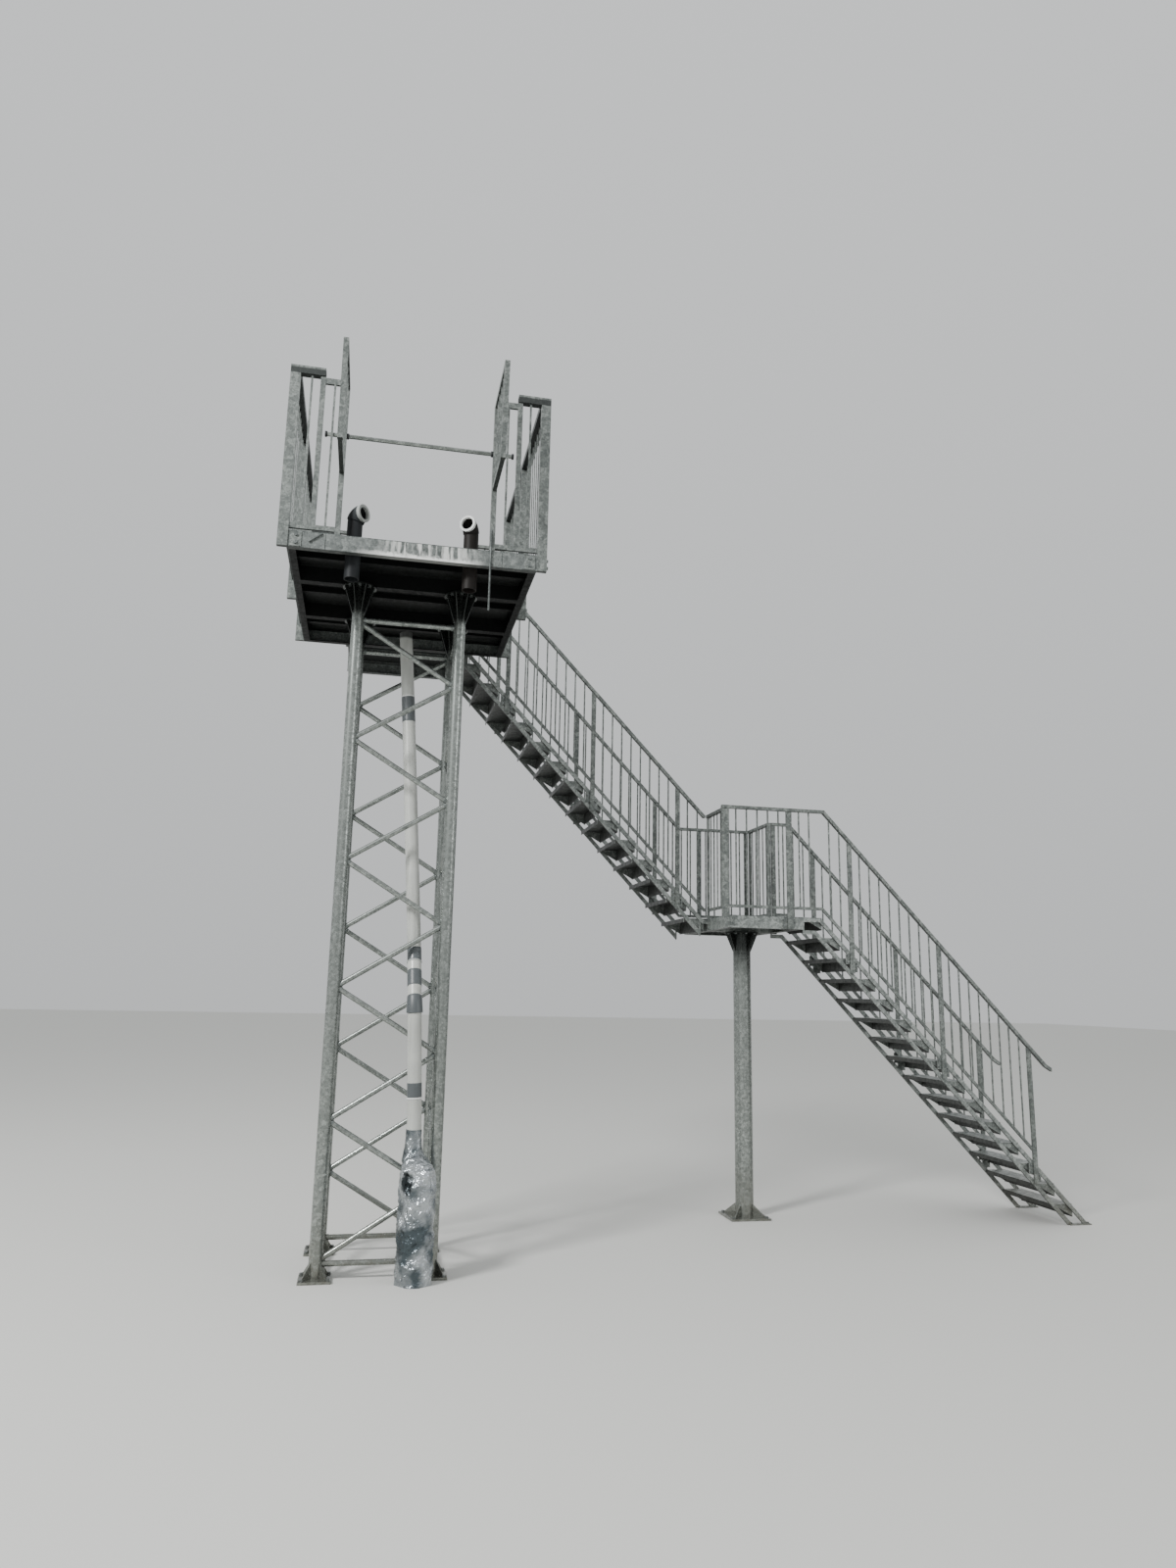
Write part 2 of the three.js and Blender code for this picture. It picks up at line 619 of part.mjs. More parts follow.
function headFloor() {
  const front = PLATFORM_DEPTH + GAP;
  return fuse([
    box(-HEAD_HALF, HEAD_HALF, front, HEAD_REAR, BEAM_TOP + GAP, PLATFORM_LEVEL),
    box(HEAD_HALF - 5, UPPER_NOSING, UPPER_NEAR, UPPER_FAR, BEAM_TOP + GAP, PLATFORM_LEVEL),
  ]);
}

add('stair_head_frame', headFrame(), galvanisedDull);
add('stair_head_floor', headFloor(), floorSteel);

// Level railings at the rear of the platform and round the stair head

function platformRailing(from, to, posts, bays) {
  const top = PLATFORM_LEVEL + HANDRAIL_LEVEL;
  const knee = PLATFORM_LEVEL + KNEE_RAIL_LEVEL;
  return railing({
    top: [[from, top], [to, top]],
    knee: [[posts[0], knee], [posts.at(-1), knee]],
    posts: posts.map((s) => [s, UNDERSIDE + 8]),
    bays,
  });
}

function rearRailing(from, to) {
  const posts = [from + POST_WIDE / 2, to - POST_WIDE / 2];
  return platformRailing(from, to, posts, [[...posts, 3]]);
}

const headRearPosts = [-HEAD_HALF + POST_WIDE / 2, 0, HEAD_HALF - POST_WIDE / 2];
const headLeftEnd = HEAD_REAR - HANDRAIL_WIDE / 2;
const headLeftPosts = [PLATFORM_DEPTH + 60, headLeftEnd - POST_WIDE / 2];
const headRearBays = [[headRearPosts[0], 0, 4], [0, headRearPosts[2], 4]];
const headRear = platformRailing(-HEAD_HALF, HEAD_HALF, headRearPosts, headRearBays);
const headLeft = platformRailing(PLATFORM_DEPTH + 40, headLeftEnd, headLeftPosts, [[...headLeftPosts, 7]]);
const rearLeft = rearRailing(-PLATFORM_HALF, -HEAD_HALF - 40);
const rearRight = rearRailing(HEAD_HALF + 10, PLATFORM_HALF);
add('railing_rear_left', facingRear(rearLeft, PLATFORM_DEPTH), galvanised);
add('railing_rear_right', facingRear(rearRight, PLATFORM_DEPTH), galvanised);
add('railing_head_rear', facingRear(headRear, HEAD_REAR), galvanised);
add('railing_head_left', facingLeft(headLeft, -HEAD_HALF), galvanised);

// Flights

function nosing(first, level) {
  return (x) => level - SLOPE * (x - first);
}

const upperNosing = nosing(UPPER_NOSING, PLATFORM_LEVEL);
const lowerNosing = nosing(LOWER_NOSING, LANDING_LEVEL);

function whereNosingIs(height, line, first) {
  return first + (line(first) - height) / SLOPE;
}

// One folded tread between the stringers
function tread(front, top, near, far) {
  const rear = front - TREAD_DEEP;
  const low = top - TREAD_LIP;
  const under = top - TREAD_PLATE;
  const apron = top - TREAD_APRON;
  const fold = [
    [rear, top], [rear, low], [rear + TREAD_PLATE, low], [rear + TREAD_PLATE, under],
    [front - TREAD_PLATE, under], [front - TREAD_PLATE, apron], [front, apron], [front, top],
  ];
  return prism('y', fold, near + STRINGER_THICK - 2, far - STRINGER_THICK + 2);
}

// Both stringers of a flight: two bars each, closed by upright flats at the ends
function stringers(upperPath, lowerPath, flats, near, far) {
  return [near, far - STRINGER_THICK].flatMap((y) => [
    prism('y', barOutline(upperPath, BAR_THICK), y, y + STRINGER_THICK),
    prism('y', barOutline(lowerPath, BAR_THICK), y, y + STRINGER_THICK),
    ...flats.map(([x0, x1, z0, z1]) => box(x0, x1, y, y + STRINGER_THICK, z0, z1)),
  ]);
}

function upperFlight() {
  const start = HEAD_HALF + GAP;
  const startTop = BEAM_TOP - 22;
  const end = LANDING_LEFT - GAP;
  const endTop = LANDING_LEVEL - 32;
  const lowerEnd = 3106;
  const upperPath = [
    [start, startTop],
    [whereNosingIs(startTop - UPPER_BAR, upperNosing, UPPER_NOSING), startTop],
    [whereNosingIs(endTop - UPPER_BAR, upperNosing, UPPER_NOSING), endTop],
    [end, endTop],
  ];
  const lowerPath = [[start, upperNosing(start) + LOWER_BAR], [lowerEnd, upperNosing(lowerEnd) + LOWER_BAR]];
  const flats = [
    [start, start + 12, UNDERSIDE - 20, startTop + 10],
    [lowerEnd - 8, lowerEnd + 4, lowerPath[1][1] - 20, endTop + 40],
  ];
  const pieces = stringers(upperPath, lowerPath, flats, UPPER_NEAR, UPPER_FAR);
  for (let n = 1; n <= RISERS_UPPER; n += 1) {
    pieces.push(tread(UPPER_NOSING + n * GOING, PLATFORM_LEVEL - n * RISE, UPPER_NEAR, UPPER_FAR));
  }
  return fuse(pieces);
}

const FOOT_PLATE = { from: 6650, to: 6880, thick: 12, wide: 60 };

function lowerFlight() {
  const start = LANDING_RIGHT + GAP;
  const startTop = LANDING_LEVEL - 26;
  const startLow = LANDING_UNDERSIDE - 25;
  const upperEnd = whereNosingIs(-20 - UPPER_BAR, lowerNosing, LOWER_NOSING);
  const lowerEnd = whereNosingIs(-20 - LOWER_FLIGHT_BAR, lowerNosing, LOWER_NOSING);
  const upperPath = [
    [start, startTop],
    [whereNosingIs(startTop - UPPER_BAR, lowerNosing, LOWER_NOSING), startTop],
    [upperEnd, -20],
  ];
  const lowerPath = [
    [start, startLow],
    [whereNosingIs(startLow - LOWER_FLIGHT_BAR, lowerNosing, LOWER_NOSING), startLow],
    [lowerEnd, -20],
  ];
  const flats = [[start, start + 12, startLow - 5, startTop + 5]];
  const feet = [LOWER_NEAR, LOWER_FAR - STRINGER_THICK].map((y) => {
    const margin = (FOOT_PLATE.wide - STRINGER_THICK) / 2;
    return box(FOOT_PLATE.from, FOOT_PLATE.to, y - margin, y + STRINGER_THICK + margin, 0, FOOT_PLATE.thick);
  });
  const pieces = [...stringers(upperPath, lowerPath, flats, LOWER_NEAR, LOWER_FAR), ...feet];
  for (let n = 0; n < RISERS_LOWER; n += 1) {
    pieces.push(tread(LOWER_NOSING + n * GOING, LANDING_LEVEL - n * RISE, LOWER_NEAR, LOWER_FAR));
  }
  const belowGround = box(LANDING_RIGHT, 8000, 1000, 4000, -400, 0);
  const landingSide = box(3000, start, 1000, 4000, LANDING_UNDERSIDE - 200, LANDING_LEVEL + 200);
  return cut(fuse(pieces), [belowGround, landingSide]);
}

add('upper_flight', upperFlight(), galvanisedDull);
add('lower_flight', lowerFlight(), galvanisedDull);

// Railings of the flights

const UPPER_POSTS = [620, 1058, 1960, 2862];
const LOWER_POSTS = [4452, 5382, 6312];
const HANDRAIL_CROOK_X = 6486;
const KNEE_BEND_LEVEL = LANDING_LEVEL + KNEE_RAIL_LEVEL;
const RAIL_BEND_LEVEL = LANDING_LEVEL + HANDRAIL_LEVEL;

function slopePosts(places, line) {
  return places.map((x) => [x, line(x) - POST_UNDER_NOSING]);
}

function upperRailing(endX, lastBay) {
  const bend = whereNosingIs(RAIL_BEND_LEVEL - RAIL_OVER_NOSING_UPPER, upperNosing, UPPER_NOSING);
  const kneeBend = whereNosingIs(KNEE_BEND_LEVEL - KNEE_OVER_NOSING, upperNosing, UPPER_NOSING);
  const top = UPPER_POSTS[0] - 24;
  return railing({
    top: [[top, upperNosing(top) + RAIL_OVER_NOSING_UPPER], [bend, RAIL_BEND_LEVEL], [endX, RAIL_BEND_LEVEL]],
    knee: [
      [UPPER_POSTS[0], upperNosing(UPPER_POSTS[0]) + KNEE_OVER_NOSING],
      [kneeBend, KNEE_BEND_LEVEL],
      [endX, KNEE_BEND_LEVEL],
    ],
    posts: slopePosts(UPPER_POSTS, upperNosing),
    bays: [
      [UPPER_POSTS[0], UPPER_POSTS[1], 3],
      [UPPER_POSTS[1], UPPER_POSTS[2], 8],
      [UPPER_POSTS[2], UPPER_POSTS[3], 8],
      [UPPER_POSTS[3], ...lastBay],
    ],
  });
}

function lowerRailing(startX, firstBay, startPosts = []) {
  const bend = whereNosingIs(RAIL_BEND_LEVEL - RAIL_OVER_NOSING_LOWER, lowerNosing, LOWER_NOSING);
  const kneeBend = whereNosingIs(KNEE_BEND_LEVEL - KNEE_OVER_NOSING, lowerNosing, LOWER_NOSING);
  const crookLevel = lowerNosing(HANDRAIL_CROOK_X) + RAIL_OVER_NOSING_LOWER;
  const kneeEnd = LOWER_POSTS.at(-1);
  return railing({
    top: [
      [startX, RAIL_BEND_LEVEL],
      [bend, RAIL_BEND_LEVEL],
      [HANDRAIL_CROOK_X, crookLevel],
      [HANDRAIL_CROOK_X + 64, crookLevel - 40],
    ],
    knee: [
      [startX, KNEE_BEND_LEVEL],
      [kneeBend, KNEE_BEND_LEVEL],
      [kneeEnd, lowerNosing(kneeEnd) + KNEE_OVER_NOSING],
    ],
    posts: [...startPosts, ...slopePosts(LOWER_POSTS, lowerNosing)],
    bays: [firstBay, [LOWER_POSTS[0], LOWER_POSTS[1], 8], [LOWER_POSTS[1], LOWER_POSTS[2], 8]],
  });
}

// Landing rails split from the flights' rails at plumb butt joints
const END_POST_X = 3178;
const NEAR_SPLIT_X = 4110;
const NEAR_BAY_END = 4134;
const CORNER_POST_X = 3157;
const REAR_POST_X = 3376;
const MID_POST_X = 3816;
const farStart = LANDING_RIGHT + (POST_THICK + HANDRAIL_WIDE) / 2 + 2 * GAP;
const farStartPost = farStart + POST_WIDE / 2;
const farStartBay = [farStartPost, LOWER_POSTS[0], 3];

const upperNear = upperRailing(END_POST_X - POST_WIDE / 2 - GAP, [END_POST_X, 2]);
const upperFar = upperRailing(REAR_POST_X - POST_WIDE / 2 - GAP, [REAR_POST_X, 4]);
const lowerNear = lowerRailing(NEAR_SPLIT_X + GAP, [NEAR_BAY_END, LOWER_POSTS[0], 2]);
const lowerFar = lowerRailing(farStart, farStartBay, [[farStartPost, LANDING_UNDERSIDE]]);
add('upper_railing_near', facingFront(upperNear, UPPER_NEAR), galvanised);
add('upper_railing_far', facingRear(upperFar, UPPER_FAR), galvanised);
add('lower_railing_near', facingFront(lowerNear, LOWER_NEAR), galvanised);
add('lower_railing_far', facingRear(lowerFar, LOWER_FAR), galvanised);

// Landing

function landingFrame() {
  const outline = (web, sign) => channelOutline(web, sign, LANDING_UNDERSIDE, LANDING_BEAM_DEEP);
  const [left, right] = [LANDING_LEFT + 2, LANDING_RIGHT - 2];
  return fuse([
    prism('y', outline(LANDING_LEFT, 1), LOWER_NEAR, UPPER_FAR),
    prism('y', outline(LANDING_RIGHT, -1), LOWER_NEAR, UPPER_FAR),
    prism('x', outline(LOWER_NEAR, 1), LANDING_LEFT, LANDING_RIGHT),
    prism('x', outline(UPPER_FAR, -1), LANDING_LEFT, LANDING_RIGHT),
    box(left, right, COLUMN_Y - 60, COLUMN_Y + 60, LANDING_UNDERSIDE, LANDING_BEAM_TOP),
  ]);
}

function landingFloor() {
  const bottom = LANDING_BEAM_TOP + GAP;
  const nosingEdge = UPPER_NOSING + RISERS_UPPER * GOING + 2;
  return fuse([
    box(LANDING_LEFT, LANDING_RIGHT, LOWER_NEAR, UPPER_FAR, bottom, LANDING_LEVEL),
    box(nosingEdge, LANDING_LEFT + 5, UPPER_NEAR, UPPER_FAR, bottom, LANDING_LEVEL),
  ]);
}

function landingColumn() {
  return leg({
    x: COLUMN_X, y: COLUMN_Y, radius: COLUMN_RADIUS, top: LANDING_UNDERSIDE - GAP, sides: 24,
    flange: 170, baseHalf: 200, headFins: 200,
  });
}

add('landing_frame', landingFrame(), galvanisedDull);
add('landing_floor', landingFloor(), floorSteel);
add('landing_column', landingColumn(), galvanised);

// Landing railings

const LANDING_BAY_BARS = 5;

function landingFrontRailing() {
  return railing({
    top: [[CORNER_POST_X - 37, RAIL_BEND_LEVEL], [NEAR_SPLIT_X, RAIL_BEND_LEVEL]],
    knee: [[CORNER_POST_X, KNEE_BEND_LEVEL], [NEAR_SPLIT_X, KNEE_BEND_LEVEL]],
    posts: [[CORNER_POST_X, LANDING_UNDERSIDE, 75], [MID_POST_X, LANDING_UNDERSIDE, 57]],
    bays: [[CORNER_POST_X, MID_POST_X, 5], [MID_POST_X, NEAR_BAY_END, 2]],
  });
}

function landingRailing(from, to, posts) {
  return railing({
    top: [[from, RAIL_BEND_LEVEL], [to, RAIL_BEND_LEVEL]],
    knee: [[from, KNEE_BEND_LEVEL], [to, KNEE_BEND_LEVEL]],
    posts: posts.map(([s, wide]) => [s, LANDING_UNDERSIDE + 8, wide]),
    bays: [[from, to, LANDING_BAY_BARS]],
  });
}

const leftStart = LOWER_NEAR + (HANDRAIL_WIDE - POST_THICK) / 2 + 5 + 2 * GAP;
const leftEnd = UPPER_NEAR - GAP;
const rearStart = REAR_POST_X - POST_WIDE / 2;
const rearPosts = [[REAR_POST_X, POST_WIDE], [LANDING_RIGHT - POST_WIDE / 2, POST_WIDE]];
const rightPosts = [[LOWER_FAR + 40, 80], [UPPER_FAR - 40, POST_WIDE]];
const landingLeft = landingRailing(leftStart, leftEnd, [[leftEnd - 15, 30]]);
const landingRear = landingRailing(rearStart, LANDING_RIGHT, rearPosts);
const landingRight = landingRailing(LOWER_FAR + GAP, UPPER_FAR - 15, rightPosts);
add('landing_railing_front', facingFront(landingFrontRailing(), LOWER_NEAR), galvanised);
add('landing_railing_left', facingLeft(landingLeft, LANDING_LEFT), galvanised);
add('landing_railing_rear', facingRear(landingRear, UPPER_FAR), galvanised);
add('landing_railing_right', facingRight(landingRight, LANDING_RIGHT), galvanised);

// The origin is in the middle of the covered ground area
const middle = new THREE.Box3().setFromObject(tower).getCenter(new THREE.Vector3());
tower.position.set(-middle.x, -middle.y, 0);

export default tower;
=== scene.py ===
# %% [markdown]
# # Dressing a water slide tower
#
# The tower is a starting platform on a four-legged lattice mast, with a stair of two flights. Its slide
# has been taken off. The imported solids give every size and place. This lesson gives them the look of
# hot-dip galvanised steel that has stood outdoors, and adds what is too small for solids: bolts, weld
# beads, clamps, bands on the pipe and the crumpled foil at its foot.

import math

import bmesh
import bpy
from mathutils import Matrix, Vector, noise


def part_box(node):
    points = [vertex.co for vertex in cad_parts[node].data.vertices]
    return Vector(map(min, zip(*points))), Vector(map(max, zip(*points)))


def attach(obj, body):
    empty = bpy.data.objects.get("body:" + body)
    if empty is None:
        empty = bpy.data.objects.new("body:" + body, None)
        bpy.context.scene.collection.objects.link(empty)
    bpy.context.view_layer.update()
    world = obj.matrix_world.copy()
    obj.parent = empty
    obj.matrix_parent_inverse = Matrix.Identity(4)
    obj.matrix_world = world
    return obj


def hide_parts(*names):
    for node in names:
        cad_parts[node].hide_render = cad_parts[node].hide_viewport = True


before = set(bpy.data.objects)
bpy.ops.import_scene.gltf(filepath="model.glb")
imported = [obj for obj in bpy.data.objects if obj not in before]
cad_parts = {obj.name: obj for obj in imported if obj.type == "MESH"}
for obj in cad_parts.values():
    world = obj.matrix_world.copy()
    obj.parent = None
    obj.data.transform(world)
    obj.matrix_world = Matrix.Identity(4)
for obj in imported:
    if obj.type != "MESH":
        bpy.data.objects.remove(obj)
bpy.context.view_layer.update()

# %% [markdown]
# ## Where things are
#
# Drawings of the tower are in millimetres from the middle of the platform's front edge, and the frame is in
# metres from the middle of the ground area. One function turns the first into the second. It takes its
# start from a solid that is already in place, so nothing has to be fitted by eye.

# %% From drawing millimetres to the frame
beam_low, beam_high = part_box("platform_beam_front")
MIDDLE_X = (beam_low.x + beam_high.x) / 2
FASCIA_FACE = 8
FRONT_Y = beam_low.y - FASCIA_FACE / 1000
UNDERSIDE = 5450
PLATFORM_LEVEL = 5582.5


def here(x, y, z):
    return Vector((MIDDLE_X + x / 1000, FRONT_Y + y / 1000, z / 1000))


print("front edge starts at", [round(v, 4) for v in here(-970, 0, UNDERSIDE)])

# %% [markdown]
# ## Camera
#
# The photograph was taken from the ground, to the left of the tower and looking up at it. Its place and
# angles were worked out once from edges whose real sizes are known. The camera is built from three
# directions: where it looks, what is right and what is up, with a small roll about the line of sight.

# %% Camera
CAMERA_PLACE = (-3.1042, -9.0403, 2.1357)
CAMERA_YAW = math.radians(11.795)
CAMERA_PITCH = math.radians(11.392)
CAMERA_ROLL = math.radians(1.091)
PHOTO_HIGH = 1600
FOCAL_PIXELS = 1052.36
SENSOR_HIGH = 36
FARTHEST = 500

ahead = Vector((
    math.sin(CAMERA_YAW) * math.cos(CAMERA_PITCH),
    math.cos(CAMERA_YAW) * math.cos(CAMERA_PITCH),
    math.sin(CAMERA_PITCH),
))
level_right = Vector((math.cos(CAMERA_YAW), -math.sin(CAMERA_YAW), 0))
level_up = level_right.cross(ahead)
right = level_right * math.cos(CAMERA_ROLL) + level_up * math.sin(CAMERA_ROLL)
up = level_up * math.cos(CAMERA_ROLL) - level_right * math.sin(CAMERA_ROLL)

lens = bpy.data.cameras.new("camera")
lens.sensor_fit = "VERTICAL"
lens.sensor_height = SENSOR_HIGH
lens.lens = SENSOR_HIGH * FOCAL_PIXELS / PHOTO_HIGH
lens.clip_end = FARTHEST
camera = bpy.data.objects.new("camera", lens)
bpy.context.scene.collection.objects.link(camera)
camera.matrix_world = Matrix.Translation(CAMERA_PLACE) @ Matrix((right, up, -ahead)).transposed().to_4x4()
bpy.context.scene.camera = camera
print("lens", round(lens.lens, 3), "mm")

# %% [markdown]
# ## Two helpers for colours and nodes
#
# Colours are read off as hex values, the way a paint program shows them. Shaders work with linear light, so
# one function converts them. Materials and Geometry Nodes trees are both lists of nodes, so one function
# adds a node, sets its inputs and links what is handed to it from other nodes.

# %% Colour and node helpers
def linear(hex_colour):
    shares = [int(hex_colour[i:i + 2], 16) / 255 for i in (1, 3, 5)]
    return (*[s / 12.92 if s <= 0.04045 else ((s + 0.055) / 1.055) ** 2.4 for s in shares], 1.0)


def put(tree, kind, inputs=None, **settings):
    node = tree.nodes.new(kind)
    for name, value in settings.items():
        setattr(node, name, value)
    for socket, value in (inputs or {}).items():
        if isinstance(value, bpy.types.NodeSocket):
            tree.links.new(value, node.inputs[socket])
        else:
            node.inputs[socket].default_value = value
    return node


print("mid grey in linear light:", [round(v, 3) for v in linear("#808080")])

# %% [markdown]
# ## One colour over another
#
# Most finishes of the tower are one finish with a darker or paler layer over some places: soil, lime, grime
# or shade. A layer is a mix between what the material shows so far and one colour. What decides where it
# lies is a share from 0 to 1, worked out from the place of a point or from the way its face looks.

# %% Layers of colour
def point_axes(tree):
    """Where a point lies in the frame, as sockets named X, Y and Z."""
    place = put(tree, "ShaderNodeTexCoord").outputs["Object"]
    return put(tree, "ShaderNodeSeparateXYZ", {"Vector": place}).outputs


def facing_axes(tree):
    """Where a face looks, as sockets named X, Y and Z."""
    normal = put(tree, "ShaderNodeNewGeometry").outputs["Normal"]
    return put(tree, "ShaderNodeSeparateXYZ", {"Vector": normal}).outputs


def cover(material, share, colour):
    """Lays a colour over what a material shows so far. A mix has its two colours in sockets 6 and 7."""
    tree = material.node_tree
    base = tree.nodes["Principled BSDF"].inputs["Base Color"]
    covered = put(tree, "ShaderNodeMix", {
        0: share, 6: base.links[0].from_socket, 7: linear(colour),
    }, data_type="RGBA")
    tree.links.new(covered.outputs[2], base)


# %% [markdown]
# ## Floor, sky and lamps
#
# The tower stands on a plain pale floor. An overcast sky is the softest light there is, so most of the light
# comes from the world, brighter overhead than at the horizon. Two large lamps give the tubes the long soft
# highlight that shows they are round.

# %% Floor
FLOOR_CORNERS = [(-60, -40, 0), (60, -40, 0), (60, 80, 0), (-60, 80, 0)]
floor_mesh = bpy.data.meshes.new("studio_floor")
floor_mesh.from_pydata(FLOOR_CORNERS, [], [(0, 1, 2, 3)])
floor = bpy.data.objects.new("studio_floor", floor_mesh)
bpy.context.scene.collection.objects.link(floor)

floor_paint = bpy.data.materials.new("pale_studio_floor")
floor_paint.use_nodes = True
floor_shader = floor_paint.node_tree.nodes["Principled BSDF"]
floor_shader.inputs["Roughness"].default_value = 0.9
floor_shader.inputs["Base Color"].default_value = linear("#cfcfcb")
floor_mesh.materials.append(floor_paint)
print("floor from", FLOOR_CORNERS[0], "to", FLOOR_CORNERS[2], "metres")

# %% Sky
SKY_STRENGTH = 0.95
sky = bpy.data.worlds.new("overcast_sky")
bpy.context.scene.world = sky
sky.use_nodes = True
sky_tree = sky.node_tree
sky_place = put(sky_tree, "ShaderNodeTexCoord")
sky_axes = put(sky_tree, "ShaderNodeSeparateXYZ", {"Vector": sky_place.outputs["Generated"]})
sky_height = put(sky_tree, "ShaderNodeMapRange", {
    "Value": sky_axes.outputs["Z"], "From Min": -0.1, "From Max": 0.9,
})
sky_ramp = put(sky_tree, "ShaderNodeValToRGB", {"Fac": sky_height.outputs[0]})
sky_ramp.color_ramp.elements[0].color = linear("#d3d5d6")
sky_ramp.color_ramp.elements[1].color = linear("#f4f6f7")
sky_tree.links.new(sky_ramp.outputs["Color"], sky_tree.nodes["Background"].inputs["Color"])
sky_tree.nodes["Background"].inputs["Strength"].default_value = SKY_STRENGTH
print("sky strength", SKY_STRENGTH)

# %% Lamps
def soft_lamp(name, place, target, size, watts):
    """A round lamp at a place, aimed at a target."""
    lamp = bpy.data.lights.new(name, "AREA")
    lamp.shape = "DISK"
    lamp.size = size
    lamp.energy = watts
    holder = bpy.data.objects.new(name, lamp)
    bpy.context.scene.collection.objects.link(holder)
    holder.location = place
    holder.rotation_euler = (Vector(target) - Vector(place)).to_track_quat("-Z", "Y").to_euler()


soft_lamp("key_lamp", (-13, -9, 13), (-1.5, 0, 3.5), size=3.4, watts=3200)
soft_lamp("fill_lamp", (12, -12, 8), (0, 0, 3), size=8, watts=350)

# %% [markdown]
# ## Hot-dip galvanised steel
#
# Galvanised steel is dipped in molten zinc, which freezes in flat crystals called spangle. Each crystal
# mirrors the sky a little differently, so the surface is a patchwork of greys. Outdoors it dulls to a
# zinc patina, gets runs below its edges and is splashed with soil near the ground. Voronoi cells make the
# spangle, and noise makes the patina. Real spangle is 8 to 15 mm wide, and the tower is small in the
# picture, so the large cells are drawn about three times as coarse to show at all.

# %% Galvanised finish
SPANGLE_MM = 38
FINE_SPANGLE_MM = 13
TUBE_SPANGLE_MM = 24
PATINA_MM = 420
RUN_MM = 60
RUN_SQUEEZE = (1.0, 1.0, 0.07)
SPLASH_MM = 70
SKIN_MM = 9
SOIL = "#6a6355"


def per_metre(millimetres):
    """The scale of a pattern whose features are this wide."""
    return 1000 / millimetres


def galvanised_finish(
    name, shade, middle, light, metal, rough, soil=1.0, spangle=SPANGLE_MM, relief_share=0.35,
):
    material = bpy.data.materials.new(name)
    material.use_nodes = True
    tree = material.node_tree
    shader = tree.nodes["Principled BSDF"]
    place = put(tree, "ShaderNodeTexCoord").outputs["Object"]

    # Crystals: every cell has its own tone
    crystals = put(tree, "ShaderNodeTexVoronoi", {"Vector": place, "Scale": per_metre(spangle)})
    tone = put(tree, "ShaderNodeSeparateColor", {"Color": crystals.outputs["Color"]}).outputs[0]
    small = put(tree, "ShaderNodeTexVoronoi", {"Vector": place, "Scale": per_metre(FINE_SPANGLE_MM)})
    small_tone = put(tree, "ShaderNodeSeparateColor", {"Color": small.outputs["Color"]}).outputs[1]
    both = put(tree, "ShaderNodeMix", {"Factor": 0.5, "A": tone, "B": small_tone})

    # Patina in broad clouds, and runs that hang down
    patina = put(tree, "ShaderNodeTexNoise", {
        "Vector": place, "Scale": per_metre(PATINA_MM), "Detail": 6.0, "Roughness": 0.6,
    })
    hung = put(tree, "ShaderNodeMapping", {"Vector": place, "Scale": RUN_SQUEEZE})
    runs = put(tree, "ShaderNodeTexNoise", {
        "Vector": hung.outputs[0], "Scale": per_metre(RUN_MM), "Detail": 3.0,
    })
    worn = put(tree, "ShaderNodeMix", {
        "Factor": 0.45, "A": patina.outputs["Fac"], "B": runs.outputs["Fac"],
    })
    grey = put(tree, "ShaderNodeMix", {"Factor": 0.42, "A": both.outputs[0], "B": worn.outputs[0]})
    ramp = put(tree, "ShaderNodeValToRGB", {"Fac": grey.outputs[0]})
    ramp.color_ramp.elements[0].position = 0.22
    ramp.color_ramp.elements[0].color = linear(shade)
    ramp.color_ramp.elements[1].position = 0.8
    ramp.color_ramp.elements[1].color = linear(light)
    ramp.color_ramp.elements.new(0.5).color = linear(middle)
    tree.links.new(ramp.outputs["Color"], shader.inputs["Base Color"])

    # Soil splashed on the lowest half metre, thinner with height
    height = put(tree, "ShaderNodeSeparateXYZ", {"Vector": place}).outputs["Z"]
    low = put(tree, "ShaderNodeMapRange", {
        "Value": height, "From Min": 0.02, "From Max": 0.6, "To Min": 0.75 * soil, "To Max": 0.0,
    })
    splash = put(tree, "ShaderNodeTexNoise", {
        "Vector": place, "Scale": per_metre(SPLASH_MM), "Detail": 5.0,
    })
    soiled = put(tree, "ShaderNodeMath", {
        0: low.outputs[0], 1: splash.outputs["Fac"],
    }, operation="MULTIPLY")
    cover(material, soiled.outputs[0], SOIL)

    # Crystals differ in gloss too, and the zinc skin is very slightly uneven
    gloss = put(tree, "ShaderNodeMapRange", {
        "Value": grey.outputs[0], "From Min": 0.25, "From Max": 0.75,
        "To Min": rough + 0.1, "To Max": rough - 0.1,
    })
    tree.links.new(gloss.outputs[0], shader.inputs["Roughness"])
    skin = put(tree, "ShaderNodeTexNoise", {"Vector": place, "Scale": per_metre(SKIN_MM), "Detail": 3.0})
    relief = put(tree, "ShaderNodeMix", {"Factor": 0.35, "A": skin.outputs["Fac"], "B": tone})
    bump = put(tree, "ShaderNodeBump", {
        "Height": relief.outputs[0], "Strength": relief_share, "Distance": 0.0012,
    })
    tree.links.new(bump.outputs[0], shader.inputs["Normal"])
    shader.inputs["Metallic"].default_value = metal
    return material


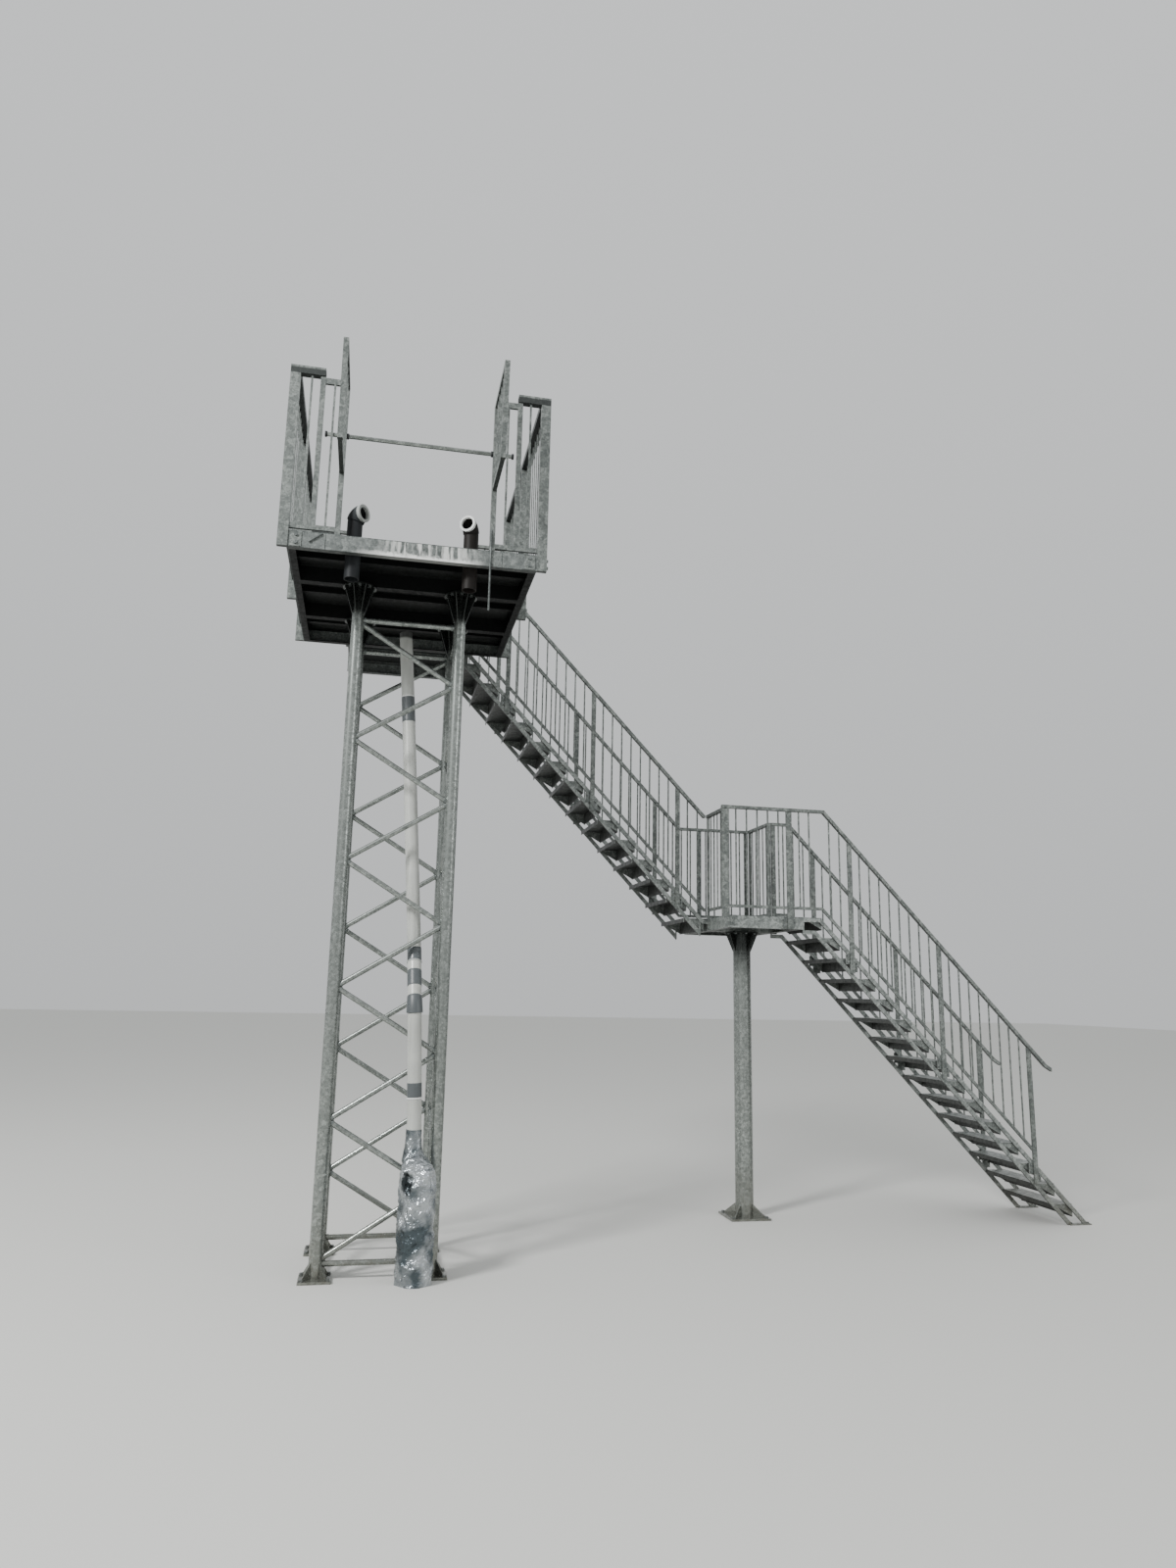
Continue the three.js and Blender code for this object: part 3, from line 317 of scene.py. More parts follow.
bright_zinc = galvanised_finish("hot_dip_galvanised_steel", "#525755", "#6d726f", "#969b97", 0.5, 0.48)
dull_zinc = galvanised_finish("weathered_galvanised_steel", "#4b504e", "#646967", "#828784", 0.4, 0.56)
tube_zinc = galvanised_finish(
    "galvanised_round_tube", "#6e7370", "#878c88", "#aaafab", 0.72, 0.27, spangle=TUBE_SPANGLE_MM,
    relief_share=0.14,
)
stair_zinc = galvanised_finish("galvanised_steel_of_the_stair", "#5f6462", "#828784", "#a9aeaa", 0.5, 0.45)
grimy_zinc = galvanised_finish("grimy_galvanised_rod", "#3a3e3d", "#505554", "#6a6f6d", 0.3, 0.6)
print("zinc finishes:", [m.name for m in (bright_zinc, dull_zinc, tube_zinc, stair_zinc, grimy_zinc)])

# %% [markdown]
# ## The front beam, stained
#
# The slide sat against the middle of the front beam. Water and chlorine left a chalky white stain there,
# strongest along the lower half, with drips that run down. It is the same weathered zinc, with one more
# layer: a mask that is high only between two places along the beam, broken up by noise.

# %% Stained front beam finish
# Along the beam a stain rises between the first two places and falls between the last two
CRUST_ALONG = (-500, -180, 380, 560)
DRIPS_ALONG = (-330, -60, 330, 520)
# Height in metres at which the crust begins to thin and at which it ends, before noise lifts them
CRUST_ENDS = (5.408, 5.438)
RAGGED_BY = 0.11
RAGGED_MM = 48
DRIP_MM = 30
DRIP_SQUEEZE = (1.0, 1.0, 0.14)

stained_zinc = dull_zinc.copy()
stained_zinc.name = "weathered_zinc_with_lime_stain"
tree = stained_zinc.node_tree
place = put(tree, "ShaderNodeTexCoord").outputs["Object"]
axes = put(tree, "ShaderNodeSeparateXYZ", {"Vector": place}).outputs


def along_beam(rise_from, rise_to, fall_from, fall_to):
    """1 between two places along the beam, given in drawing millimetres, with soft ends."""
    rise = put(tree, "ShaderNodeMapRange", {
        "Value": axes["X"], "From Min": here(rise_from, 0, 0).x, "From Max": here(rise_to, 0, 0).x,
    })
    fall = put(tree, "ShaderNodeMapRange", {
        "Value": axes["X"], "From Min": here(fall_from, 0, 0).x, "From Max": here(fall_to, 0, 0).x,
        "To Min": 1.0, "To Max": 0.0,
    })
    both = put(tree, "ShaderNodeMath", {0: rise.outputs[0], 1: fall.outputs[0]}, operation="MULTIPLY")
    return both.outputs[0]


# A crust on the lowest 30 to 50 mm, with a ragged upper edge
ragged = put(tree, "ShaderNodeTexNoise", {
    "Vector": place, "Scale": per_metre(RAGGED_MM), "Detail": 6.0, "Roughness": 0.7,
})
level = put(tree, "ShaderNodeMath", {
    0: ragged.outputs["Fac"], 1: -RAGGED_BY, 2: axes["Z"],
}, operation="MULTIPLY_ADD")
crust_low = put(tree, "ShaderNodeMapRange", {
    "Value": level.outputs[0], "From Min": CRUST_ENDS[0], "From Max": CRUST_ENDS[1],
    "To Min": 0.95, "To Max": 0.0,
})
crust = put(tree, "ShaderNodeMath", {
    0: crust_low.outputs[0], 1: along_beam(*CRUST_ALONG),
}, operation="MULTIPLY")
# Drips above it, only in the middle
hung = put(tree, "ShaderNodeMapping", {"Vector": place, "Scale": DRIP_SQUEEZE})
streaks = put(tree, "ShaderNodeTexNoise", {
    "Vector": hung.outputs[0], "Scale": per_metre(DRIP_MM), "Detail": 4.0,
})
dripping = put(tree, "ShaderNodeMapRange", {
    "Value": streaks.outputs["Fac"], "From Min": 0.47, "From Max": 0.6, "To Max": 0.72,
})
drips = put(tree, "ShaderNodeMath", {
    0: dripping.outputs[0], 1: along_beam(*DRIPS_ALONG),
}, operation="MULTIPLY")
lime = put(tree, "ShaderNodeMath", {0: crust.outputs[0], 1: drips.outputs[0]}, operation="MAXIMUM")
cover(stained_zinc, lime.outputs[0], "#e9eae6")
# Lime is chalk, not metal
tree.nodes["Principled BSDF"].inputs["Metallic"].default_value = 0.15
print("lime crust from", CRUST_ALONG[0], "to", CRUST_ALONG[-1], "mm along the front beam")

# %% [markdown]
# ## Undersides
#
# The undersides of the beams and floors get painted shade. The sky doesn't light them, so they look almost
# black from below. The direction a face looks in picks them.

# %% Painted shade on undersides
def shade_underside(material, colour, share):
    """Paints shade on the faces that look down."""
    tree = material.node_tree
    below = put(tree, "ShaderNodeMapRange", {
        "Value": facing_axes(tree)["Z"], "From Min": -0.8, "From Max": -0.4,
        "To Min": share, "To Max": 0.0,
    })
    cover(material, below.outputs[0], colour)


# Painted shade on the faces of these finishes that look down
for zinc in (dull_zinc, stained_zinc, bright_zinc):
    shade_underside(zinc, "#222524", 0.8)
shade_underside(stair_zinc, "#131514", 0.93)
print("painted shade on undersides:", [m.name for m in (dull_zinc, stained_zinc, bright_zinc, stair_zinc)])

# %% [markdown]
# ## The backs of the treads
#
# Each tread of the flights is folded down at its edge into an apron. From the ground one sees the backs of
# the aprons, in shade between the two stringers. So each flight has a finish of its own: the stair's steel,
# with painted shade where a face looks towards the tower and lies between the stringers' inner faces.

# %% Finishes of the two flights
UPPER_SIDES = (2355, 3205)
LOWER_SIDES = (1733, 2583)
# From a flight's outer face to just inside its stringer
STRINGER_DEEP = 20.5


def treads_between(name, near, far):
    """The stair's steel, with painted shade on the backs of the treads' aprons between the stringers."""
    material = stair_zinc.copy()
    material.name = name
    tree = material.node_tree
    middle = here(0, (near + far) / 2, 0).y
    reach = ((far - near) / 2 - STRINGER_DEEP) / 1000
    aside = put(tree, "ShaderNodeMath", {0: point_axes(tree)["Y"], 1: middle}, operation="SUBTRACT")
    apart = put(tree, "ShaderNodeMath", {0: aside.outputs[0]}, operation="ABSOLUTE")
    inner = put(tree, "ShaderNodeMath", {0: apart.outputs[0], 1: reach}, operation="LESS_THAN")
    back = put(tree, "ShaderNodeMapRange", {
        "Value": facing_axes(tree)["X"], "From Min": -0.7, "From Max": -0.3,
        "To Min": 0.86, "To Max": 0.0,
    })
    share = put(tree, "ShaderNodeMath", {0: inner.outputs[0], 1: back.outputs[0]}, operation="MULTIPLY")
    # Painted shade, nearly black, on the backs of the aprons
    cover(material, share.outputs[0], "#1b1b19")
    return material


upper_zinc = treads_between("galvanised_steel_of_the_upper_flight", *UPPER_SIDES)
lower_zinc = treads_between("galvanised_steel_of_the_lower_flight", *LOWER_SIDES)
print("flights:", upper_zinc.name, lower_zinc.name)

# %% [markdown]
# ## Steel under the platform's floor
#
# The beams under the floor are bright only on their outer faces. Inside the ring of side beams and rear beam
# they stand in shade, so everything within that ring gets painted shade, nearly black, and has hardly any
# gleam.

# %% Finish of the platform's frame
SIDE_BEAM_FACE = 962
REAR_BEAM_FACE = 2280
FRAME_SHADE_SHARE = 0.97

frame_zinc = dull_zinc.copy()
frame_zinc.name = "galvanised_steel_under_the_floor"
tree = frame_zinc.node_tree
axes = point_axes(tree)
from_middle = put(tree, "ShaderNodeMath", {0: axes["X"], 1: MIDDLE_X}, operation="SUBTRACT")
aside = put(tree, "ShaderNodeMath", {0: from_middle.outputs[0]}, operation="ABSOLUTE")
between_sides = put(tree, "ShaderNodeMath", {
    0: aside.outputs[0], 1: SIDE_BEAM_FACE / 1000,
}, operation="LESS_THAN")
before_rear = put(tree, "ShaderNodeMath", {
    0: axes["Y"], 1: here(0, REAR_BEAM_FACE, 0).y,
}, operation="LESS_THAN")
within = put(tree, "ShaderNodeMath", {
    0: between_sides.outputs[0], 1: before_rear.outputs[0],
}, operation="MULTIPLY")
frame_shade = put(tree, "ShaderNodeMath", {0: within.outputs[0], 1: FRAME_SHADE_SHARE}, operation="MULTIPLY")
# Painted shade, nearly black, on everything inside the ring of beams
cover(frame_zinc, frame_shade.outputs[0], "#090a0a")
tree.nodes["Principled BSDF"].inputs["Specular IOR Level"].default_value = 0.2
print("dark within", 2 * SIDE_BEAM_FACE, "mm by", REAR_BEAM_FACE, "mm")

# %% [markdown]
# ## Tube ends in the shade of a floor
#
# The top of a leg stands right under a floor, in its shade, so the tube gets painted shade over its last
# stretch. A share that rises with height does that.

# %% Tubes with dark tops
def tube_with_shaded_top(name, from_z, to_z):
    """The round tube's finish, with painted shade above the second level and none below the first."""
    material = tube_zinc.copy()
    material.name = name
    tree = material.node_tree
    top_shade = put(tree, "ShaderNodeMapRange", {
        "Value": point_axes(tree)["Z"], "From Min": from_z / 1000, "From Max": to_z / 1000, "To Max": 0.9,
    })
    # Painted shade of the floor above
    cover(material, top_shade.outputs[0], "#1d201f")
    return material


mast_tube = tube_with_shaded_top("galvanised_tube_under_platform", UNDERSIDE - 290, UNDERSIDE - 215)
column_tube = tube_with_shaded_top("galvanised_tube_under_landing", 2300, 2620)
print("tubes with dark tops:", mast_tube.name, column_tube.name)

# %% [markdown]
# ## The caps of the platform's railings
#
# The lower half of a cap is drawn dark. Two shares, one that rises at the lower level and one that falls at
# the upper, make a band when they are multiplied.

# %% Railing finish with a dark band on the cap
CAP_BAND_FROM = UNDERSIDE + 1468
CAP_BAND_TO = UNDERSIDE + 1520

capped_zinc = bright_zinc.copy()
capped_zinc.name = "galvanised_steel_with_dark_cap_band"
tree = capped_zinc.node_tree
axes = point_axes(tree)
from_low = put(tree, "ShaderNodeMapRange", {
    "Value": axes["Z"], "From Min": CAP_BAND_FROM / 1000, "From Max": (CAP_BAND_FROM + 2) / 1000,
})
to_high = put(tree, "ShaderNodeMapRange", {
    "Value": axes["Z"], "From Min": (CAP_BAND_TO - 5) / 1000, "From Max": (CAP_BAND_TO + 3) / 1000,
    "To Min": 0.86, "To Max": 0.0,
})
overlay = put(tree, "ShaderNodeMath", {0: from_low.outputs[0], 1: to_high.outputs[0]}, operation="MULTIPLY")
# The cap's lower half is drawn dark
cover(capped_zinc, overlay.outputs[0], "#252928")
print("dark cap band from", CAP_BAND_FROM, "to", CAP_BAND_TO, "mm")

# %% [markdown]
# ## Chequer plate
#
# The floors are chequer plate: steel rolled with raised lozenges that stand across each other, so that
# wet feet don't slip. The lozenges are drawn by arithmetic on the place of each point. Every square cell
# holds one lozenge, and in every second cell the place is mirrored, which turns its lozenge the other way.
# The real pitch is about 30 mm. It is drawn at 48 mm, because a finer one would blur into grey.
# Only the face that looks up is rubbed bright by feet.

# %% Chequer plate finish
LOZENGE_PITCH_MM = 48
# In cells, a lozenge reaches about 1 / 1.6 along and 1 / 6.5 across its diagonal
ALONG_LOZENGE = 1.6
ACROSS_LOZENGE = 6.5


def chequer_finish(name, dark, light):
    material = galvanised_finish(name, dark, light, "#8c9390", 0.4, 0.55, soil=0.3)
    tree = material.node_tree
    shader = tree.nodes["Principled BSDF"]
    place = put(tree, "ShaderNodeTexCoord").outputs["Object"]
    cells = put(tree, "ShaderNodeVectorMath", {
        0: place, "Scale": per_metre(LOZENGE_PITCH_MM),
    }, operation="SCALE")
    inside = put(tree, "ShaderNodeVectorMath", {0: cells.outputs[0]}, operation="FRACTION")
    centred = put(tree, "ShaderNodeVectorMath", {
        0: inside.outputs[0], 1: (0.5, 0.5, 0.0),
    }, operation="SUBTRACT")
    in_cell = put(tree, "ShaderNodeSeparateXYZ", {"Vector": centred.outputs[0]}).outputs
    chequer = put(tree, "ShaderNodeTexChecker", {"Vector": place, "Scale": per_metre(LOZENGE_PITCH_MM)})
    side = put(tree, "ShaderNodeMapRange", {"Value": chequer.outputs["Fac"], "To Min": -1.0, "To Max": 1.0})
    mirrored = put(tree, "ShaderNodeMath", {0: in_cell["Y"], 1: side.outputs[0]}, operation="MULTIPLY")
    along = put(tree, "ShaderNodeMath", {0: in_cell["X"], 1: mirrored.outputs[0]}, operation="ADD")
    across = put(tree, "ShaderNodeMath", {0: in_cell["X"], 1: mirrored.outputs[0]}, operation="SUBTRACT")
    long_way = put(tree, "ShaderNodeMath", {0: along.outputs[0], 1: ALONG_LOZENGE}, operation="MULTIPLY")
    short_way = put(tree, "ShaderNodeMath", {0: across.outputs[0], 1: ACROSS_LOZENGE}, operation="MULTIPLY")
    both = put(tree, "ShaderNodeCombineXYZ", {"X": long_way.outputs[0], "Y": short_way.outputs[0]})
    reach = put(tree, "ShaderNodeVectorMath", {0: both.outputs[0]}, operation="LENGTH")
    raised = put(tree, "ShaderNodeMapRange", {
        "Value": reach.outputs["Value"], "From Min": 0.7, "From Max": 1.1, "To Min": 1.0, "To Max": 0.0,
    })
    upper = put(tree, "ShaderNodeMapRange", {
        "Value": facing_axes(tree)["Z"], "From Min": 0.2, "From Max": 0.6,
    })
    lozenge = put(tree, "ShaderNodeMath", {
        0: raised.outputs[0], 1: upper.outputs[0],
    }, operation="MULTIPLY")
    cover(material, lozenge.outputs[0], "#a9afac")
    # Painted shade on the plate's underside
    shade_underside(material, "#0e100f", 0.96)
    zinc_skin = shader.inputs["Normal"].links[0].from_socket
    bump = put(tree, "ShaderNodeBump", {
        "Height": lozenge.outputs[0], "Normal": zinc_skin, "Strength": 0.9, "Distance": 0.0022,
    })
    tree.links.new(bump.outputs[0], shader.inputs["Normal"])
    return material


chequer_plate = chequer_finish("chequer_plate_steel", "#3f4443", "#5b615f")
print("lozenges every", LOZENGE_PITCH_MM, "mm")

# %% [markdown]
# ## Plastics
#
# The riser is grey PVC pipe, a smooth extruded plastic that has gone dull and streaky outdoors. The two
# water pipes are dark polyethylene. Plastic is not a metal, so its reflections are white and its colour
# comes from the base. Dirt lies on it in streaks that run down, thicker in some places than in others.

# %% Plastic finishes
STREAK_MM = 45
STREAK_SQUEEZE = (1.0, 1.0, 0.06)
CLOUD_MM = 260
SCUFF_MM = 16
PLASTIC_IOR = 1.5


def plastic_finish(name, base, overlay, rough, grime_share, gleam=0.5):
    material = bpy.data.materials.new(name)
    material.use_nodes = True
    tree = material.node_tree
    shader = tree.nodes["Principled BSDF"]
    place = put(tree, "ShaderNodeTexCoord").outputs["Object"]
    hung = put(tree, "ShaderNodeMapping", {"Vector": place, "Scale": STREAK_SQUEEZE})
    streaks = put(tree, "ShaderNodeTexNoise", {
        "Vector": hung.outputs[0], "Scale": per_metre(STREAK_MM), "Detail": 5.0,
    })
    clouds = put(tree, "ShaderNodeTexNoise", {"Vector": place, "Scale": per_metre(CLOUD_MM), "Detail": 5.0})
    both = put(tree, "ShaderNodeMath", {
        0: streaks.outputs["Fac"], 1: clouds.outputs["Fac"],
    }, operation="MULTIPLY")
    dirty = put(tree, "ShaderNodeMapRange", {
        "Value": both.outputs[0], "From Min": 0.2, "From Max": 0.42, "To Max": grime_share,
    })
    colour = put(tree, "ShaderNodeMix", {
        0: dirty.outputs[0], 6: linear(base), 7: linear(overlay),
    }, data_type="RGBA")
    tree.links.new(colour.outputs[2], shader.inputs["Base Color"])
    gloss = put(tree, "ShaderNodeMapRange", {
        "Value": clouds.outputs["Fac"], "From Min": 0.3, "From Max": 0.7,
        "To Min": rough - 0.08, "To Max": rough + 0.12,
    })
    tree.links.new(gloss.outputs[0], shader.inputs["Roughness"])
    scuffs = put(tree, "ShaderNodeTexNoise", {"Vector": place, "Scale": per_metre(SCUFF_MM), "Detail": 4.0})
    bump = put(tree, "ShaderNodeBump", {
        "Height": scuffs.outputs["Fac"], "Strength": 0.2, "Distance": 0.0008,
    })
    tree.links.new(bump.outputs[0], shader.inputs["Normal"])
    shader.inputs["IOR"].default_value = PLASTIC_IOR
    shader.inputs["Specular IOR Level"].default_value = gleam
    return material


grey_pvc = plastic_finish("extruded_grey_pvc", "#b6b8b3", "#8b8d88", 0.3, 0.55)
dark_pipe = plastic_finish("black_polyethylene", "#1b1d1f", "#3a3e40", 0.58, 0.5, gleam=0.2)
brown_pipe = plastic_finish("brown_black_polyethylene", "#181513", "#332e2a", 0.58, 0.5, gleam=0.2)
pale_rim = plastic_finish("bleached_pipe_end", "#a2a5a2", "#777a78", 0.6, 0.6)
white_rim = plastic_finish("white_rubber_ring", "#dcdddb", "#a9aaa6", 0.55, 0.5)
dark_tape = plastic_finish("grey_black_tape", "#53585a", "#3c4042", 0.36, 0.6)
black_rubber = plastic_finish("black_rubber", "#202224", "#3a3d3e", 0.6, 0.4)
PLASTICS = (grey_pvc, dark_pipe, brown_pipe, pale_rim, white_rim, dark_tape, black_rubber)
print("plastics:", [m.name for m in PLASTICS])

# %% [markdown]
# ## Foil
#
# The foil is plain aluminium: nearly a mirror, so all its look comes from the creases in its shape and from
# finer ones in its bump. The creases get painted shade, a darker layer. Below the shoulder the foil is torn,
# and dark insulation shows in an upright slit: a layer round one place, squeezed and frayed by noise.

# %% Foil finish
CRINKLE_MM = 55
TARNISH_MM = 240
TEAR_PLACE = here(190, 446, 718)
TEAR_SQUEEZE = (1.0, 1.0, 0.5)
FRAYED_BY = 0.06

foil_skin = bpy.data.materials.new("crumpled_aluminium_foil")
foil_skin.use_nodes = True
tree = foil_skin.node_tree
shader = tree.nodes["Principled BSDF"]
place = put(tree, "ShaderNodeTexCoord").outputs["Object"]
creases = put(tree, "ShaderNodeTexVoronoi", {
    "Vector": place, "Scale": per_metre(CRINKLE_MM), "Detail": 2.0, "Roughness": 0.6,
})
wrinkles = put(tree, "ShaderNodeTexNoise", {
    "Vector": place, "Scale": per_metre(CRINKLE_MM), "Detail": 7.0, "Distortion": 1.2,
})
crumple = put(tree, "ShaderNodeMix", {
    "Factor": 0.5, "A": creases.outputs["Distance"], "B": wrinkles.outputs["Fac"],
})
bump = put(tree, "ShaderNodeBump", {"Height": crumple.outputs[0], "Strength": 0.8, "Distance": 0.02})
tree.links.new(bump.outputs[0], shader.inputs["Normal"])
tarnish = put(tree, "ShaderNodeTexNoise", {"Vector": place, "Scale": per_metre(TARNISH_MM), "Detail": 4.0})
spots = put(tree, "ShaderNodeMapRange", {
    "Value": tarnish.outputs["Fac"], "From Min": 0.42, "From Max": 0.58,
})
silver = put(tree, "ShaderNodeMix", {
    0: spots.outputs[0], 6: linear("#bbc0c3"), 7: linear("#525b5f"),
}, data_type="RGBA")
tree.links.new(silver.outputs[2], shader.inputs["Base Color"])
crease_shade = put(tree, "ShaderNodeMapRange", {
    "Value": crumple.outputs[0], "From Min": 0.3, "From Max": 0.46, "To Min": 0.92, "To Max": 0.0,
})
# Painted shade in the creases
cover(foil_skin, crease_shade.outputs[0], "#272e32")
from_tear = put(tree, "ShaderNodeVectorMath", {0: place, 1: TEAR_PLACE}, operation="SUBTRACT")
upright = put(tree, "ShaderNodeVectorMath", {
    0: from_tear.outputs[0], 1: TEAR_SQUEEZE,
}, operation="MULTIPLY")
away = put(tree, "ShaderNodeVectorMath", {0: upright.outputs[0]}, operation="LENGTH")
frayed = put(tree, "ShaderNodeMath", {
    0: wrinkles.outputs["Fac"], 1: FRAYED_BY, 2: away.outputs["Value"],
}, operation="MULTIPLY_ADD")
in_tear = put(tree, "ShaderNodeMapRange", {
    "Value": frayed.outputs[0], "From Min": 0.066, "From Max": 0.08, "To Min": 0.92, "To Max": 0.0,
})
cover(foil_skin, in_tear.outputs[0], "#23292b")
dulled = put(tree, "ShaderNodeMapRange", {"Value": tarnish.outputs["Fac"], "To Min": 0.12, "To Max": 0.36})
tree.links.new(dulled.outputs[0], shader.inputs["Roughness"])
shader.inputs["Metallic"].default_value = 0.92
print("foil creases of about", CRINKLE_MM, "mm")

# %% [markdown]
# ## Small steel: bolts and welds
#
# Bolts are electroplated with zinc and stay brighter than the steel they hold. Welds were painted over
# with zinc-rich paint after galvanising, which leaves a darker, matt ring. The gap between two lengths of
# a beam is in shade, so the thin slab that stands for it is nearly black.

# %% Bolt and weld finishes
bolt_zinc = galvanised_finish(
    "electroplated_bolt_zinc", "#4f5453", "#727776", "#a0a5a3", 0.8, 0.34, soil=0.4,
)
weld_paint = galvanised_finish("zinc_rich_weld_paint", "#4c5250", "#656b69", "#838987", 0.25, 0.62)
black_void = galvanised_finish("shaded_joint_gap", "#1f2221", "#2c302f", "#3d4240", 0.1, 0.8, soil=0.0)
print("small steel:", bolt_zinc.name, weld_paint.name, black_void.name)

# %% [markdown]
# ## Which solid gets which finish
#
# Solids that keep their own shape take a finish by their name. An object's material slots can hold a
# material without touching its mesh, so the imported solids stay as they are.

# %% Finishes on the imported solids
FLOORS = [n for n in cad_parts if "_floor" in n]
TUBES = [
    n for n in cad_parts
    if n.startswith("mast_") or n in ("drop_rod", "slide_cross_bar", "landing_column")
]
CAPPED_RAILINGS = ["railing_left", "railing_right", "railing_front_left", "railing_front_right"]
FINISH_OF = {
    **{n: bright_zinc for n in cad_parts},
    **{n: tube_zinc for n in TUBES},
    **{n: chequer_plate for n in FLOORS},
    **{n: capped_zinc for n in CAPPED_RAILINGS},
    "stair_head_frame": dull_zinc,
    "landing_frame": stair_zinc,
    "upper_flight": upper_zinc,
    "lower_flight": lower_zinc,
    "platform_frame": frame_zinc,
    "platform_beam_front": stained_zinc,
    "riser_pipe": grey_pvc,
    "riser_foil_wrap": foil_skin,
    "water_pipe_left": dark_pipe,
    "water_pipe_right": brown_pipe,
}


def wear(thing, finish):
    """Puts one finish on every material slot of an object."""
    if not thing.material_slots:
        thing.data.materials.append(finish)
    for slot in thing.material_slots:
        slot.link = "OBJECT"
        slot.material = finish


for node_name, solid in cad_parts.items():
    wear(solid, FINISH_OF[node_name])
print("finishes on", len(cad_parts), "solids")

# %% [markdown]
# ## From a list of faces to a finished piece
#
# Every new piece goes through the same last steps. Its mesh gets smooth shading with sharp edges kept where
# two faces meet at more than 35 degrees, so a tube looks round and a plate stays crisp. Then the piece
# takes its finish, rides on the tower and hides the imported solid it stands for.

# %% Finishing a piece
SHARP_ANGLE = math.radians(35)


def settle(piece, finish, stands_for=()):
    """Shades a piece, gives it a finish where it has none yet, and fixes it to the tower."""
    mesh = piece.data
    mesh.shade_smooth()
    mesh.set_sharp_from_angle(angle=SHARP_ANGLE)
    if finish is not None:
        mesh.materials.clear()
        mesh.materials.append(finish)
    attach(piece, "root")
    if stands_for:
        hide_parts(*stands_for)
    return piece


def piece_from(name, build, finish, stands_for=()):
    """Turns a filled bmesh into a piece and frees it."""
    bmesh.ops.recalc_face_normals(build, faces=build.faces)
    mesh = bpy.data.meshes.new(name)
    build.to_mesh(mesh)
    build.free()
    piece = bpy.data.objects.new(name, mesh)
    bpy.context.scene.collection.objects.link(piece)
    return settle(piece, finish, stands_for)


print("edges stay sharp from", round(math.degrees(SHARP_ANGLE)), "degrees")

# %% [markdown]
# ## Trees that make pieces
#
# Geometry Nodes make what repeats or follows a rule. A tree is built once with named inputs for its sizes,
# and run for every piece of its kind. Its result is kept as a plain mesh and the modifier goes away.
# Instances are made real at the end of each tree, so that its result is plain faces as well.

# %% Running a Geometry Nodes tree
def new_tree(name, **kinds):
    """An empty tree with one named input for each keyword."""
    tree = bpy.data.node_groups.new(name, "GeometryNodeTree")
    tree.interface.new_socket("Geometry", in_out="INPUT", socket_type="NodeSocketGeometry")
    for label, kind in kinds.items():
        tree.interface.new_socket(label, in_out="INPUT", socket_type="NodeSocket" + kind)
    tree.interface.new_socket("Geometry", in_out="OUTPUT", socket_type="NodeSocketGeometry")
    return tree, put(tree, "NodeGroupInput").outputs


def close_tree(tree, shape, finish):
    """Ends a tree that has one finish: the faces made real, then the finish."""
    real = put(tree, "GeometryNodeRealizeInstances", {"Geometry": shape})
    dressed = put(tree, "GeometryNodeSetMaterial", {"Geometry": real.outputs[0], "Material": finish})
    put(tree, "NodeGroupOutput", {"Geometry": dressed.outputs[0]})


def grow(name, tree, slot, stands_for=(), start=None, **values):
    """Runs a tree once and keeps its result as a plain mesh."""
    seed = bpy.data.objects.new(name + "_seed", start or bpy.data.meshes.new(name + "_seed"))
    bpy.context.scene.collection.objects.link(seed)
    modifier = seed.modifiers.new("grow", "NODES")
    modifier.node_group = tree
    for item in tree.interface.items_tree:
        if item.in_out == "INPUT" and item.name in values:
            modifier[item.identifier] = values[item.name]
    grown = seed.evaluated_get(bpy.context.evaluated_depsgraph_get())
    mesh = bpy.data.meshes.new_from_object(grown)
    bpy.data.objects.remove(seed)
    mesh.name = name
    piece = bpy.data.objects.new(name, mesh)
    bpy.context.scene.collection.objects.link(piece)
    print(name, len(mesh.polygons), "faces")
    return settle(piece, None, stands_for)


# %% [markdown]
# ## Round legs
#
# Each leg of the mast is a round tube that ends under the platform in a flange stiffened by eight fins, and
# on the ground in a square plate with four fins. The landing's column is the same thing, larger. One
# Geometry Nodes tree makes all five from their sizes. A fin starts as a thin cube, and a rule moves its
# corners: low down it is as wide as the tube, at the flange it reaches nearly to the rim.

# %% The tree for a round leg
# Metres, as the tree's inputs are
FIN_THICK = 0.008
FLANGE_THICK = 0.012
PLATE_THICK = 0.02
FLANGE_RIM = 0.006
BASE_FIN_HIGH = 0.13
# A fin at the foot reaches out by this share of the plate's side
BASE_FIN_REACH = 0.575
# Every fin starts inside the tube, at this share of its radius
FIN_START = 0.8
HEAD_FIN_COUNT = 8
BASE_FIN_COUNT = 4
ROUND_SIDES = 40

leg_tree, leg_in = new_tree(
    "round_leg", Foot="Vector", Radius="Float", Top="Float", Flange="Float", Plate="Float",
    HeadFins="Float", Finish="Material",
)


